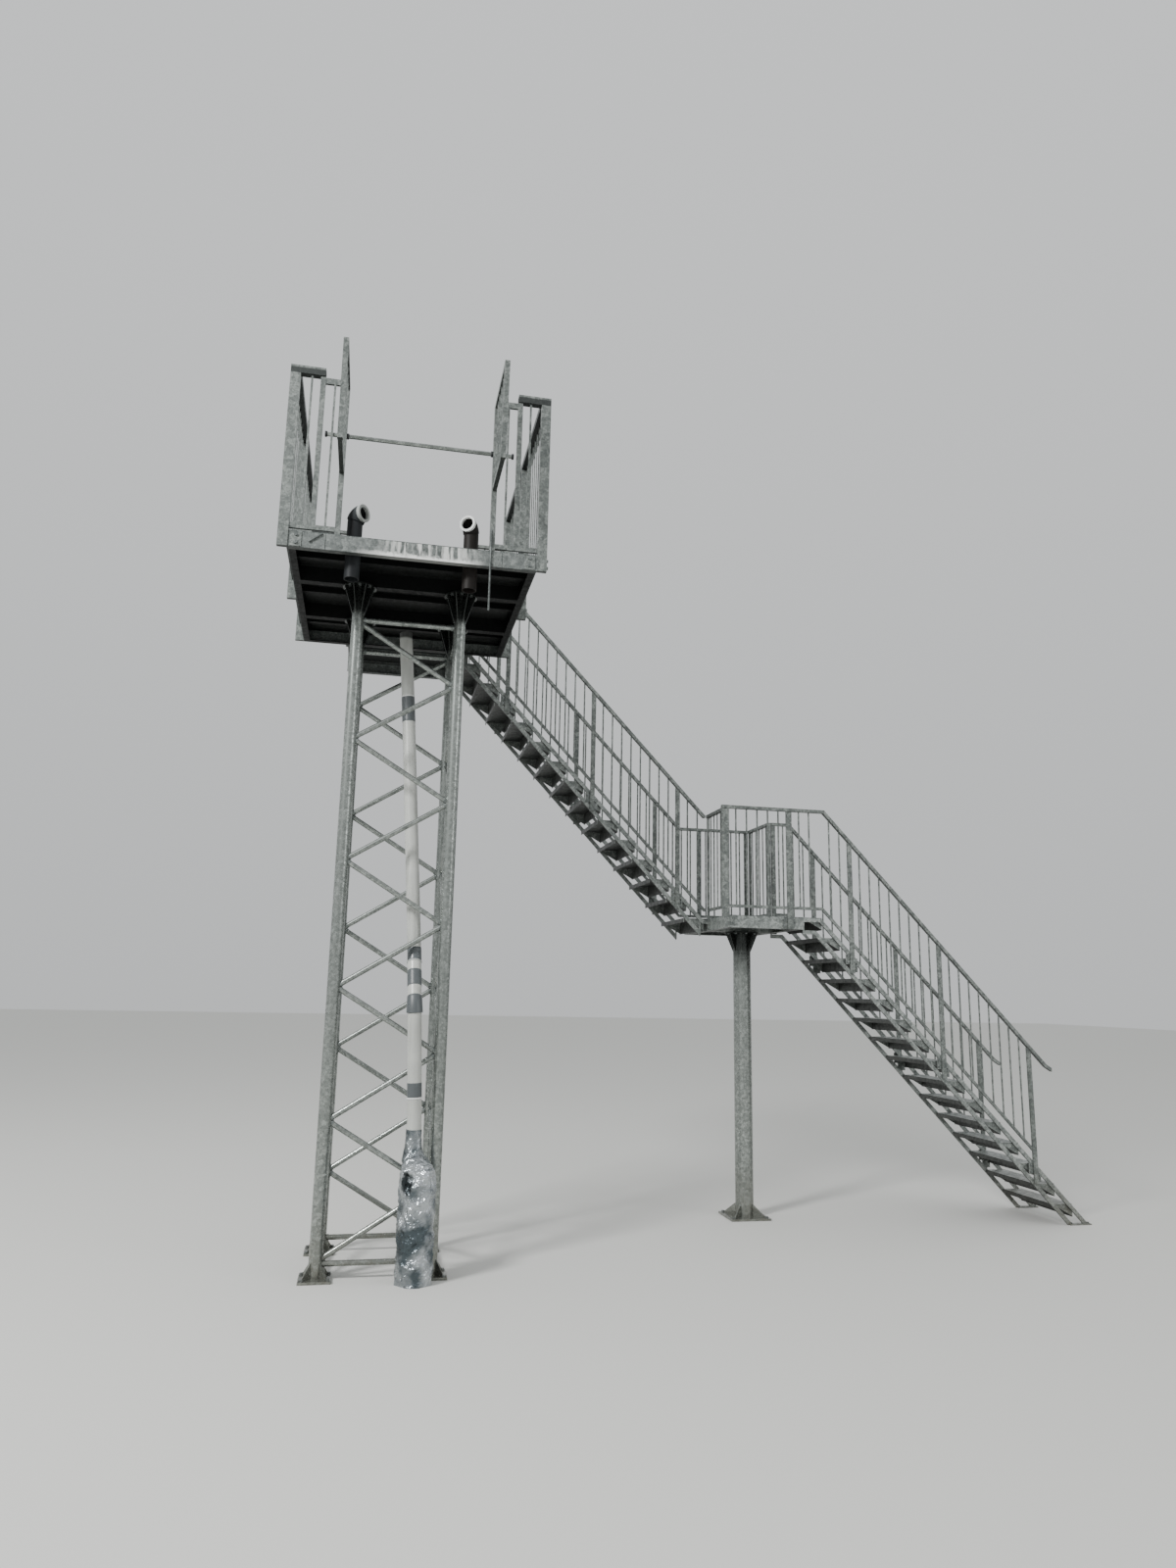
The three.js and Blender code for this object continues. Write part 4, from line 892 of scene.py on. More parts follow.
def fin_ring(tree, radius, reach, tip, wide, count, turn):
    """Fins round a tube, from its radius, the fins' reach, and the heights of their tips and wide ends."""
    blank = put(tree, "GeometryNodeMeshCube", {"Size": (1.0, FIN_THICK, 1.0)})
    corner = put(tree, "ShaderNodeSeparateXYZ", {"Vector": put(tree, "GeometryNodeInputPosition").outputs[0]})
    out = put(tree, "ShaderNodeMath", {0: corner.outputs["X"], 1: 0.5}, operation="ADD")
    edge = put(tree, "ShaderNodeMapRange", {
        "Value": corner.outputs["Z"], "From Min": -0.5, "From Max": 0.5, "To Min": radius, "To Max": reach,
    })
    buried = put(tree, "ShaderNodeMath", {0: radius, 1: FIN_START}, operation="MULTIPLY")
    x = put(tree, "ShaderNodeMapRange", {
        "Value": out.outputs[0], "To Min": buried.outputs[0], "To Max": edge.outputs[0],
    })
    z = put(tree, "ShaderNodeMapRange", {
        "Value": corner.outputs["Z"], "From Min": -0.5, "From Max": 0.5, "To Min": tip, "To Max": wide,
    })
    moved = put(tree, "ShaderNodeCombineXYZ", {
        "X": x.outputs[0], "Y": corner.outputs["Y"], "Z": z.outputs[0],
    })
    fin = put(tree, "GeometryNodeSetPosition", {
        "Geometry": blank.outputs["Mesh"], "Position": moved.outputs[0],
    })
    centres = put(tree, "GeometryNodeMeshLine", {"Count": count, "Offset": (0.0, 0.0, 0.0)})
    number = put(tree, "GeometryNodeInputIndex")
    angle = put(tree, "ShaderNodeMath", {
        0: number.outputs[0], 1: 2 * math.pi / count, 2: turn,
    }, operation="MULTIPLY_ADD")
    turned_about = put(tree, "ShaderNodeCombineXYZ", {"Z": angle.outputs[0]})
    ring = put(tree, "GeometryNodeInstanceOnPoints", {
        "Points": centres.outputs[0], "Instance": fin.outputs[0], "Rotation": turned_about.outputs[0],
    })
    return ring.outputs[0]


def between_heights(tree, low, high):
    """Depth and middle of an upright piece between two heights."""
    depth = put(tree, "ShaderNodeMath", {0: high, 1: low}, operation="SUBTRACT")
    total = put(tree, "ShaderNodeMath", {0: high, 1: low}, operation="ADD")
    middle = put(tree, "ShaderNodeMath", {0: total.outputs[0], 1: 0.5}, operation="MULTIPLY")
    return depth.outputs[0], put(tree, "ShaderNodeCombineXYZ", {"Z": middle.outputs[0]}).outputs[0]


under_flange = put(leg_tree, "ShaderNodeMath", {
    0: leg_in["Top"], 1: FLANGE_THICK,
}, operation="SUBTRACT").outputs[0]
tube_deep, tube_middle = between_heights(leg_tree, PLATE_THICK, under_flange)
flange_deep, flange_middle = between_heights(leg_tree, under_flange, leg_in["Top"])
tube = put(leg_tree, "GeometryNodeMeshCylinder", {
    "Vertices": ROUND_SIDES, "Radius": leg_in["Radius"], "Depth": tube_deep,
})
tube_up = put(leg_tree, "GeometryNodeTransform", {"Geometry": tube.outputs[0], "Translation": tube_middle})
disc = put(leg_tree, "GeometryNodeMeshCylinder", {
    "Vertices": ROUND_SIDES, "Radius": leg_in["Flange"], "Depth": flange_deep,
})
disc_up = put(leg_tree, "GeometryNodeTransform", {"Geometry": disc.outputs[0], "Translation": flange_middle})
plate_size = put(leg_tree, "ShaderNodeCombineXYZ", {
    "X": leg_in["Plate"], "Y": leg_in["Plate"], "Z": PLATE_THICK,
})
plate = put(leg_tree, "GeometryNodeMeshCube", {"Size": plate_size.outputs[0]})
plate_up = put(leg_tree, "GeometryNodeTransform", {
    "Geometry": plate.outputs[0], "Translation": (0.0, 0.0, PLATE_THICK / 2),
})
head_reach = put(leg_tree, "ShaderNodeMath", {
    0: leg_in["Flange"], 1: FLANGE_RIM,
}, operation="SUBTRACT").outputs[0]
head_tip = put(leg_tree, "ShaderNodeMath", {
    0: leg_in["Top"], 1: leg_in["HeadFins"],
}, operation="SUBTRACT").outputs[0]
base_reach = put(leg_tree, "ShaderNodeMath", {
    0: leg_in["Plate"], 1: BASE_FIN_REACH,
}, operation="MULTIPLY").outputs[0]
head_fins = fin_ring(
    leg_tree, leg_in["Radius"], head_reach, head_tip, under_flange, HEAD_FIN_COUNT,
    math.pi / HEAD_FIN_COUNT,
)
base_fins = fin_ring(
    leg_tree, leg_in["Radius"], base_reach, BASE_FIN_HIGH, PLATE_THICK, BASE_FIN_COUNT,
    math.pi / BASE_FIN_COUNT,
)
whole = put(leg_tree, "GeometryNodeJoinGeometry")
for part in (tube_up.outputs[0], disc_up.outputs[0], plate_up.outputs[0], head_fins, base_fins):
    leg_tree.links.new(part, whole.inputs[0])
placed = put(leg_tree, "GeometryNodeTransform", {"Geometry": whole.outputs[0], "Translation": leg_in["Foot"]})
close_tree(leg_tree, placed.outputs[0], leg_in["Finish"])
print("round leg:", len(leg_tree.nodes), "nodes")

# %% Four legs and the landing's column
MAST = {
    "front_left": (-425, 725), "front_right": (425, 725),
    "rear_right": (425, 1575), "rear_left": (-425, 1575),
}
CLEAR = 0.3
LANDING_UNDERSIDE = 2767.5
COLUMN = (3590, 2469)
for corner, (x, y) in MAST.items():
    grow(
        f"round_leg_{corner}", leg_tree, "galvanised_steel", [f"mast_leg_{corner}"],
        Foot=here(x, y, 0), Radius=0.0508, Top=(UNDERSIDE - CLEAR) / 1000, Flange=0.14, Plate=0.24,
        HeadFins=0.25, Finish=mast_tube,
    )
grow(
    "round_column", leg_tree, "galvanised_steel", ["landing_column"],
    Foot=here(*COLUMN, 0), Radius=0.0889, Top=(LANDING_UNDERSIDE - CLEAR) / 1000, Flange=0.17, Plate=0.4,
    HeadFins=0.2, Finish=column_tube,
)

# %% [markdown]
# ## Lattice of the mast
#
# Between two legs one tube after the other runs down in a zig-zag, and a level tube closes the panel at the
# top and at the bottom. The rule is short: every second point of an upright line steps across to the other
# leg. The line's edges are split before they get their round section, because a sharp corner would pinch
# a section that follows it. The same edges, trimmed to a short length near each end and given a
# slightly larger section, are the weld beads.

# %% The tree for a lattice panel
# Along each tube a weld bead shows between these distances from its end, in metres
WELD_FROM, WELD_TO = 0.036, 0.052
WELD_WIDER = 1.13

lattice_tree, panel_in = new_tree(
    "lattice_panel", Start="Vector", Turn="Float", Panels="Int", Rise="Float", Near="Float", Far="Float",
    Offset="Float", Radius="Float", Finish="Material", Weld="Material",
)
points = put(lattice_tree, "ShaderNodeMath", {0: panel_in["Panels"], 1: 1.0}, operation="ADD")
down = put(lattice_tree, "ShaderNodeMath", {0: panel_in["Rise"], 1: -1.0}, operation="MULTIPLY")
step = put(lattice_tree, "ShaderNodeCombineXYZ", {"Z": down.outputs[0]})
line = put(lattice_tree, "GeometryNodeMeshLine", {"Count": points.outputs[0], "Offset": step.outputs[0]})
number = put(lattice_tree, "GeometryNodeInputIndex")
odd = put(lattice_tree, "ShaderNodeMath", {0: number.outputs[0], 1: 2.0}, operation="MODULO")
across = put(lattice_tree, "ShaderNodeMapRange", {
    "Value": odd.outputs[0], "To Min": panel_in["Near"], "To Max": panel_in["Far"],
})
sideways = put(lattice_tree, "ShaderNodeCombineXYZ", {"X": across.outputs[0]})
zigzag = put(lattice_tree, "GeometryNodeSetPosition", {
    "Geometry": line.outputs[0], "Offset": sideways.outputs[0],
})

near_point = put(lattice_tree, "ShaderNodeCombineXYZ", {"X": panel_in["Near"], "Z": panel_in["Offset"]})
far_point = put(lattice_tree, "ShaderNodeCombineXYZ", {"X": panel_in["Far"], "Z": panel_in["Offset"]})
top_bar = put(lattice_tree, "GeometryNodeMeshLine", {
    "Count": 2, "Start Location": near_point.outputs[0], "Offset": far_point.outputs[0],
}, mode="END_POINTS")
fall = put(lattice_tree, "ShaderNodeMath", {0: down.outputs[0], 1: panel_in["Panels"]}, operation="MULTIPLY")
twice = put(lattice_tree, "ShaderNodeMath", {0: panel_in["Offset"], 1: 2.0}, operation="MULTIPLY")
drop = put(lattice_tree, "ShaderNodeMath", {0: fall.outputs[0], 1: twice.outputs[0]}, operation="SUBTRACT")
drop_step = put(lattice_tree, "ShaderNodeCombineXYZ", {"Z": drop.outputs[0]})
low_bar = put(lattice_tree, "GeometryNodeTransform", {
    "Geometry": top_bar.outputs[0], "Translation": drop_step.outputs[0],
})
edges = put(lattice_tree, "GeometryNodeJoinGeometry")
for part in (zigzag, top_bar, low_bar):
    lattice_tree.links.new(part.outputs[0], edges.inputs[0])
split = put(lattice_tree, "GeometryNodeSplitEdges", {"Mesh": edges.outputs[0]})
paths = put(lattice_tree, "GeometryNodeMeshToCurve", {"Mesh": split.outputs[0]})
section = put(lattice_tree, "GeometryNodeCurvePrimitiveCircle", {
    "Resolution": 20, "Radius": panel_in["Radius"],
})
braces = put(lattice_tree, "GeometryNodeCurveToMesh", {
    "Curve": paths.outputs[0], "Profile Curve": section.outputs[0], "Fill Caps": True,
})
brace_dressed = put(lattice_tree, "GeometryNodeSetMaterial", {
    "Geometry": braces.outputs[0], "Material": panel_in["Finish"],
})
weld_radius = put(lattice_tree, "ShaderNodeMath", {
    0: panel_in["Radius"], 1: WELD_WIDER,
}, operation="MULTIPLY")
weld_section = put(lattice_tree, "GeometryNodeCurvePrimitiveCircle", {
    "Resolution": 16, "Radius": weld_radius.outputs[0],
})
backwards = put(lattice_tree, "GeometryNodeReverseCurve", {"Curve": paths.outputs[0]})
welds = put(lattice_tree, "GeometryNodeJoinGeometry")
for way in (paths, backwards):
    ends = put(lattice_tree, "GeometryNodeTrimCurve", {"Curve": way.outputs[0]}, mode="LENGTH")
    ends.inputs["Start_001"].default_value = WELD_FROM
    ends.inputs["End_001"].default_value = WELD_TO
    bead = put(lattice_tree, "GeometryNodeCurveToMesh", {
        "Curve": ends.outputs[0], "Profile Curve": weld_section.outputs[0], "Fill Caps": True,
    })
    lattice_tree.links.new(bead.outputs[0], welds.inputs[0])
welds_dressed = put(lattice_tree, "GeometryNodeSetMaterial", {
    "Geometry": welds.outputs[0], "Material": panel_in["Weld"],
})
panel = put(lattice_tree, "GeometryNodeJoinGeometry")
for part in (brace_dressed, welds_dressed):
    lattice_tree.links.new(part.outputs[0], panel.inputs[0])
# Tubes and welds have their own finishes by now, so this tree ends without close_tree
turn = put(lattice_tree, "ShaderNodeCombineXYZ", {"Z": panel_in["Turn"]})
placed = put(lattice_tree, "GeometryNodeTransform", {
    "Geometry": panel.outputs[0], "Translation": panel_in["Start"], "Rotation": turn.outputs[0],
})
real = put(lattice_tree, "GeometryNodeRealizeInstances", {"Geometry": placed.outputs[0]})
put(lattice_tree, "NodeGroupOutput", {"Geometry": real.outputs[0]})
print("lattice panel:", len(lattice_tree.nodes), "nodes")

# %% Four lattice panels
LATTICE_TOP = UNDERSIDE - 311
# The leg where a panel starts, and the way it runs from there, in degrees
SIDES = {
    "front": ("front_left", 0), "left": ("front_left", 90),
    "rear": ("rear_right", 180), "right": ("rear_right", -90),
}
for side, (first, degrees) in SIDES.items():
    grow(
        f"lattice_tubes_{side}", lattice_tree, "galvanised_steel", [f"mast_lattice_{side}"],
        Start=here(*MAST[first], LATTICE_TOP), Turn=math.radians(degrees), Panels=10, Rise=0.5, Near=0.017,
        Far=0.833, Offset=0.022, Radius=0.0212, Finish=mast_tube, Weld=weld_paint,
    )

# %% [markdown]
# ## Pipes that bend
#
# The water pipes end in elbows, and the riser stands upright at its foot and leans further up. A pipe is a
# ring of points carried along a path, once at the outer and once at the inner radius, with both walls joined
# at the open ends. The ring turns only as much as the path does, so the faces don't twist.

# %% A hollow pipe along a path
PIPE_SIDES = 40


def pipe_rings(path, radius, sides):
    """Rings of points square to a path, one at each of its points."""
    rings = []
    side = None
    for i, point in enumerate(path):
        heading = (path[min(i + 1, len(path) - 1)] - path[max(i - 1, 0)]).normalized()
        side = (side or Vector((1, 0.13, 0.07))).cross(heading).cross(heading).normalized()
        other = heading.cross(side)
        angles = [2 * math.pi * k / sides for k in range(sides)]
        rings.append([point + (side * math.cos(a) + other * math.sin(a)) * radius for a in angles])
        side = -side
    return rings


def bridge(build, rings, closed=False):
    """Faces between rings of vertices that follow one another."""
    pairs = list(zip(rings, rings[1:]))
    if closed:
        pairs.append((rings[-1], rings[0]))
    for lower, upper in pairs:
        for k in range(len(lower)):
            n = (k + 1) % len(lower)
            build.faces.new((lower[k], lower[n], upper[n], upper[k]))


def hollow_pipe(name, path, radius, wall, finish, stands_for=(), sides=PIPE_SIDES):
    """A pipe that is open at both ends. Radius and wall are in metres, like the path."""
    build = bmesh.new()
    outer = pipe_rings(path, radius, sides)
    inner = pipe_rings(path, radius - wall, sides)
    loops = [[build.verts.new(p) for p in ring] for ring in [*outer, *reversed(inner)]]
    bridge(build, loops, closed=True)
    return piece_from(name, build, finish, stands_for)


# %% [markdown]
# ## Water pipes
#
# Two short dark pipes rise through the floor and turn over into elbows that pour on the slide. The left one
# has a pale grey end, the right one a thick whitish ring. Each end ring is a piece of its own, because it
# is another material.

# %% Two water pipes with their end rings
PIPE_RADIUS = 60
PIPE_WALL = 7
PIPE_Y = 150
PIPE_BEND = 75
MOUTH_LEVEL = UNDERSIDE + 377
TAIL_LEVEL = UNDERSIDE - 166
RIM_BEYOND_BEND = 10
TAIL_STEPS = 4
BEND_STEPS = 12
# The socket starts at this point of the path, part of the way round the bend
SOCKET_FROM = 6
SOCKET_THINNER = 2
# Distances from the mouth in metres, along the way it looks
RIM_ALONG = (-0.022, -0.02, 0.0, 0.003)
COLLAR_HEIGHTS = (0, 6, 9)
COLLAR_WIDER = 9
COLLAR_WALL = 8.5


def elbow_path(x, degrees):
    """The middle of a water pipe from its tail to its mouth, and the way the mouth looks."""
    heading = Vector((math.sin(math.radians(degrees)), -math.cos(math.radians(degrees)), 0))
    foot = here(x, PIPE_Y, TAIL_LEVEL)
    turn_at = here(x, PIPE_Y, MOUTH_LEVEL - PIPE_BEND)
    path = [foot + (turn_at - foot) * (i / TAIL_STEPS) for i in range(TAIL_STEPS)]
    for i in range(BEND_STEPS + 1):
        angle = math.pi / 2 * i / BEND_STEPS
        out = heading * (PIPE_BEND / 1000) * (1 - math.cos(angle))
        path.append(turn_at + out + Vector((0, 0, PIPE_BEND / 1000 * math.sin(angle))))
    path.append(path[-1] + heading * RIM_BEYOND_BEND / 1000)
    return path, heading


# Place along the front edge, where the mouth looks in degrees, finishes, and how thick the end ring is
WATER_PIPES = {
    "left": (-480, 52, dark_pipe, pale_rim, 11),
    "right": (445, -30, brown_pipe, white_rim, 7),
}
for side, (x, degrees, body_finish, rim_finish, rim_thick) in WATER_PIPES.items():
    path, heading = elbow_path(x, degrees)
    hollow_pipe(
        f"elbow_pipe_{side}", path, PIPE_RADIUS / 1000, PIPE_WALL / 1000, body_finish,
        [f"water_pipe_{side}"],
    )
    # The socket's wall ends half a millimetre off the pipe
    socket_radius = PIPE_RADIUS + rim_thick - SOCKET_THINNER
    hollow_pipe(
        f"elbow_socket_{side}", path[SOCKET_FROM:], socket_radius / 1000,
        (socket_radius - PIPE_RADIUS - 0.5) / 1000, body_finish,
    )
    hollow_pipe(
        f"pipe_end_ring_{side}", [path[-1] + heading * d for d in RIM_ALONG],
        (PIPE_RADIUS + rim_thick) / 1000, (PIPE_WALL + rim_thick + 3) / 1000, rim_finish,
    )
    hollow_pipe(
        f"pipe_floor_collar_{side}", [here(x, PIPE_Y, PLATFORM_LEVEL + z) for z in COLLAR_HEIGHTS],
        (PIPE_RADIUS + COLLAR_WIDER) / 1000, COLLAR_WALL / 1000, black_rubber,
    )
print("water pipes:", list(WATER_PIPES))

# %% [markdown]
# ## Riser with its bands
#
# The grey riser stands in front of the mast below, turns in between two braces, and goes on inside the
# mast. Its upper end was sawn off when the slide was taken down. Dark bands of tape go round it where
# lengths were joined, a boot covers the bend where it turns in, and thin rings sit beside bands. The top
# ring is a painted highlight: a white ring where light runs along the top band's edge. They are all
# short pipes a little wider than the riser, along the same path.

# %% The line of the riser
RISER_RADIUS = 55
RISER_WALL = 5
RISER_TOP = 5192
RISER_PATH = [
    (246, 615, 0), (246, 615, 1120), (202.4, 615, 2010), (188.9, 815, 2420), (43.2, 1060, 4500),
    (-15, 1060, RISER_TOP),
]
# A bend reaches this far above and below its corner, and has a ring of points at every step
BEND_HALF = 56
BEND_STEP = 14


def on_riser_line(level):
    """The point at a level on the straight lengths of the riser."""
    for low, high in zip(RISER_PATH, RISER_PATH[1:]):
        if level <= high[2]:
            break
    return here(*low).lerp(here(*high), (level - low[2]) / (high[2] - low[2]))


def riser_point(level):
    """The middle of the riser at a level: the mean of nine points, which rounds each bend."""
    reach = max(0, min(BEND_HALF, level, RISER_TOP - level))
    return sum((on_riser_line(level + reach * k / 4) for k in range(-4, 5)), Vector()) / 9


print("the riser's top stands at", [round(v, 3) for v in riser_point(RISER_TOP)])

# %% The riser
# The sawn end stands in the platform's shade, which begins over a short length
SHADED_TOP_MM = 62
SHADE_EDGE_MM = 20

riser_pvc = grey_pvc.copy()
riser_pvc.name = "extruded_grey_pvc_of_the_riser"
tree = riser_pvc.node_tree
shade = put(tree, "ShaderNodeMapRange", {
    "Value": point_axes(tree)["Z"], "From Min": (RISER_TOP - SHADED_TOP_MM) / 1000,
    "From Max": (RISER_TOP - SHADED_TOP_MM + SHADE_EDGE_MM) / 1000, "To Max": 0.9,
})
cover(riser_pvc, shade.outputs[0], "#1a1c1b")

riser_levels = [0, 400, 800, 1500, 3000, 3500, 4000, 4800, 5000, RISER_TOP]
for _, _, bend_level in RISER_PATH[1:-1]:
    riser_levels += range(bend_level - BEND_HALF, bend_level + BEND_HALF + 1, BEND_STEP)
riser_levels.sort()
hollow_pipe(
    "grey_riser", [riser_point(z) for z in riser_levels], RISER_RADIUS / 1000, RISER_WALL / 1000, riser_pvc,
    ["riser_pipe"],
)
print("riser:", len(riser_levels), "rings")

# %% Bands, rings and the boot on the riser
# A band's edges are rounded over up to 3 mm, and its inside stands just off the riser
EDGE_ROUNDING = 3
EDGE_SHARE = 0.4
BAND_GAP = 0.4
# From, to, how much wider than the riser at the lower and the upper edge, finish
RISER_BANDS = {
    # A white ring that stands for the bright line of light along the top band's edge: a painted highlight
    "highlight_ring_top": (4615, 4626, 2.4, 2.4, white_rim),
    "tape_band_top": (4388, 4614, 1.6, 1.6, dark_tape),
    "tape_band_upper": (2350, 2459, 1.6, 1.6, dark_tape),
    "pale_ring": (2338, 2349, 4.5, 4.5, pale_rim),
    "tape_band_middle": (2150, 2273, 2.2, 2.2, dark_tape),
    "rubber_boot": (1951, 2076, 9.5, 3.5, dark_tape),
    "tape_band_lower": (1320, 1426, 1.6, 1.6, dark_tape),
    "white_ring": (1306, 1318, 4.5, 4.5, white_rim),
}
for name, (low, high, wider_low, wider_high, finish) in RISER_BANDS.items():
    rounded = min(EDGE_ROUNDING, (high - low) / 3)
    steps = max(1, round((high - low - 2 * rounded) / BEND_STEP))
    section = [(low, wider_low * EDGE_SHARE)]
    for k in range(steps + 1):
        level = low + rounded + (high - low - 2 * rounded) * k / steps
        section.append((level, wider_low + (wider_high - wider_low) * k / steps))
    section.append((high, wider_high * EDGE_SHARE))
    # The way back down the inside follows the riser too, so that the band stays on it round a bend
    section += [(level, BAND_GAP) for level, _ in reversed(section)]
    build = bmesh.new()
    loops = []
    for level, wider in section:
        ring = pipe_rings(
            [riser_point(level - 1), riser_point(level + 1)], (RISER_RADIUS + wider) / 1000, PIPE_SIDES,
        )
        loops.append([build.verts.new(p) for p in ring[0]])
    bridge(build, loops, closed=True)
    piece_from(f"riser_{name}", build, finish)
print("bands:", len(RISER_BANDS))

# %% [markdown]
# ## The foil wrap
#
# The foot of the riser is wrapped in insulation and aluminium foil: a narrow sleeve, a rounded shoulder
# with a crease round it, then a thick crumpled bag down to the ground. Crumpled foil is made of flat facets
# with sharp ridges between them, which is what a ridged noise gives: the absolute value of a smooth one.
# The mesh is a lathe form whose points are pushed inwards by it, and it stays flat shaded.

# %% The form of the foil
WRAP_TOP = 1080
WRAP_RADIUS = 153
# Height and radius as shares of the whole: bag, shoulder, crease, sleeve
WRAP_FORM = [
    (0.0, 0.95), (0.1, 0.96), (0.22, 0.93), (0.33, 0.96), (0.45, 0.98), (0.56, 0.96), (0.66, 0.97),
    (0.72, 0.97), (0.745, 0.92), (0.757, 0.84), (0.77, 0.83), (0.79, 0.71), (0.83, 0.55), (0.87, 0.46),
    (0.92, 0.42), (1.0, 0.4),
]
SLEEVE_FROM = 0.79
# How far the bag stands off the riser's axis where it is full, and the form shares between which that grows
WRAP_BULGE = (44, -72)
BULGE_FROM = 0.5
BULGE_FULL = 0.92


def form_radius(share):
    for (low, r0), (high, r1) in zip(WRAP_FORM, WRAP_FORM[1:]):
        if share <= high:
            return r0 + (r1 - r0) * (share - low) / (high - low)
    return WRAP_FORM[-1][1]


print("foil radius at foot and top:", [round(WRAP_RADIUS * form_radius(share)) for share in (0, 1)], "mm")

# %% Folds, the tear, and what the foil keeps clear of
CRUMPLE_MM = 24
SLEEVE_SLACK = 0.25
# Folds and creases for each metre, and how deep each kind is as a share of CRUMPLE_MM
BROAD_FOLDS, BROAD_DEPTH = 6.0, 1.3
SHARP_CREASES, SHARP_DEPTH = 17.0, 0.9
TEAR_ANGLE = math.radians(229)
TEAR_HALF_ANGLE = 0.26
TEAR_SHARE = 0.665
TEAR_HALF_SHARE = 0.05
TEAR_DEPTH = 44
# The base plate of the front right leg, from whose corner the foil is folded back
PLATE_CORNER = here(304, 604, 0)
LEG_PLATE_CLEAR = 153
FOLD_LENGTH = 16
FOIL_OFF_RISER = 2.5


def crumpled(point, share):
    """How far foil stands in at a point, in millimetres: broad folds and small creases."""
    broad = abs(noise.noise(point * BROAD_FOLDS))
    sharp = abs(noise.noise(point * SHARP_CREASES + Vector((3, 5, 7))))
    slack = 1.0 if share < SLEEVE_FROM else SLEEVE_SLACK
    return CRUMPLE_MM * slack * (BROAD_DEPTH * broad + SHARP_DEPTH * sharp)


def torn_in(angle, share):
    """How far the foil has fallen in at the tear, on the left below the shoulder."""
    aside = (angle - TEAR_ANGLE) / TEAR_HALF_ANGLE
    above = (share - TEAR_SHARE) / TEAR_HALF_SHARE
    return TEAR_DEPTH * math.exp(-aside ** 4 - above ** 4)


def clear_of_plate(place):
    """Folds the foil back to the corner of the leg's base plate, low down."""
    past_corner = place - PLATE_CORNER
    if place.z < LEG_PLATE_CLEAR / 1000 and past_corner.x > 0 and past_corner.y > 0:
        place.x = PLATE_CORNER.x
        if past_corner.y < FOLD_LENGTH / 1000:
            place.y = PLATE_CORNER.y
    return place


def clear_of_riser(place, axis):
    """Foil never goes into the pipe that it is wrapped round."""
    closest = (RISER_RADIUS + FOIL_OFF_RISER) / 1000
    if (place - axis).length < closest:
        return axis + (place - axis).normalized() * closest
    return place


print("tear:", TEAR_DEPTH, "mm deep,", round(WRAP_TOP * TEAR_SHARE), "mm above the ground")

# %% Crumpled foil
WRAP_ROWS = 78
WRAP_SIDES = 72
WRAP_INNER = 56
WRAP_WAYS = []
for k in range(WRAP_SIDES):
    way = 2 * math.pi * k / WRAP_SIDES
    WRAP_WAYS.append((way, Vector((math.cos(way), math.sin(way), 0))))


def wrap_ring(share):
    """Points round the foil at a share of its height."""
    ring = []
    axis = riser_point(WRAP_TOP * share)
    full = min(max((form_radius(share) - BULGE_FROM) / (BULGE_FULL - BULGE_FROM), 0), 1)
    base = axis + Vector((*WRAP_BULGE, 0)) * full / 1000
    for angle, out in WRAP_WAYS:
        radius = WRAP_RADIUS * form_radius(share)
        radius -= crumpled(base + out * radius / 1000, share)
        radius -= torn_in(angle, share)
        place = clear_of_plate(base + out * radius / 1000)
        ring.append(clear_of_riser(place, axis))
    return ring


noise.seed_set(11)
build = bmesh.new()
wrap_loops = [[build.verts.new(p) for p in wrap_ring(i / WRAP_ROWS)] for i in range(WRAP_ROWS + 1)]
for share in (1.0, 0.0):
    axis = riser_point(WRAP_TOP * share)
    wrap_loops.append([build.verts.new(axis + out * WRAP_INNER / 1000) for _, out in WRAP_WAYS])
bridge(build, wrap_loops, closed=True)
foil_wrap = piece_from("foil_wrap", build, foil_skin, ["riser_foil_wrap"])
foil_wrap.data.shade_flat()
print("foil faces:", len(foil_wrap.data.polygons))

# %% [markdown]
# ## Turned parts
#
# The cross bar that riders hold on to is a tube across the two guards, kept in place by rings of black
# rubber and a square clamp plate on each guard. A thin rod hangs from the right end of the front edge.
# Anything round and straight is a profile carried round an axis: the profile lists how far along the axis
# and how far out each ring lies, and small steps at the ends give the rounded edge that catches light.

# %% A profile turned about an axis
def turned(name, start, heading, profile, finish, stands_for=(), sides=32):
    """A solid whose profile lists how far along the axis and how far out each ring lies, in millimetres."""
    build = bmesh.new()
    side = heading.orthogonal().normalized()
    other = heading.cross(side)
    rings = []
    for along, radius in profile:
        middle = start + heading * along / 1000
        angles = [2 * math.pi * k / sides for k in range(sides)]
        outline = [middle + (side * math.cos(a) + other * math.sin(a)) * radius / 1000 for a in angles]
        rings.append([build.verts.new(p) for p in outline])
    bridge(build, rings)
    build.faces.new(rings[0])
    build.faces.new(rings[-1])
    return piece_from(name, build, finish, stands_for)


def rounded_bar(length, radius, edge):
    """The profile of a bar whose ends are rounded over by the edge."""
    first = [(0, radius - edge), (edge * 0.3, radius - edge * 0.3), (edge, radius)]
    return first + [(length - along, out) for along, out in reversed(first)]


print("profile of a bar:", rounded_bar(100, 10, 2))

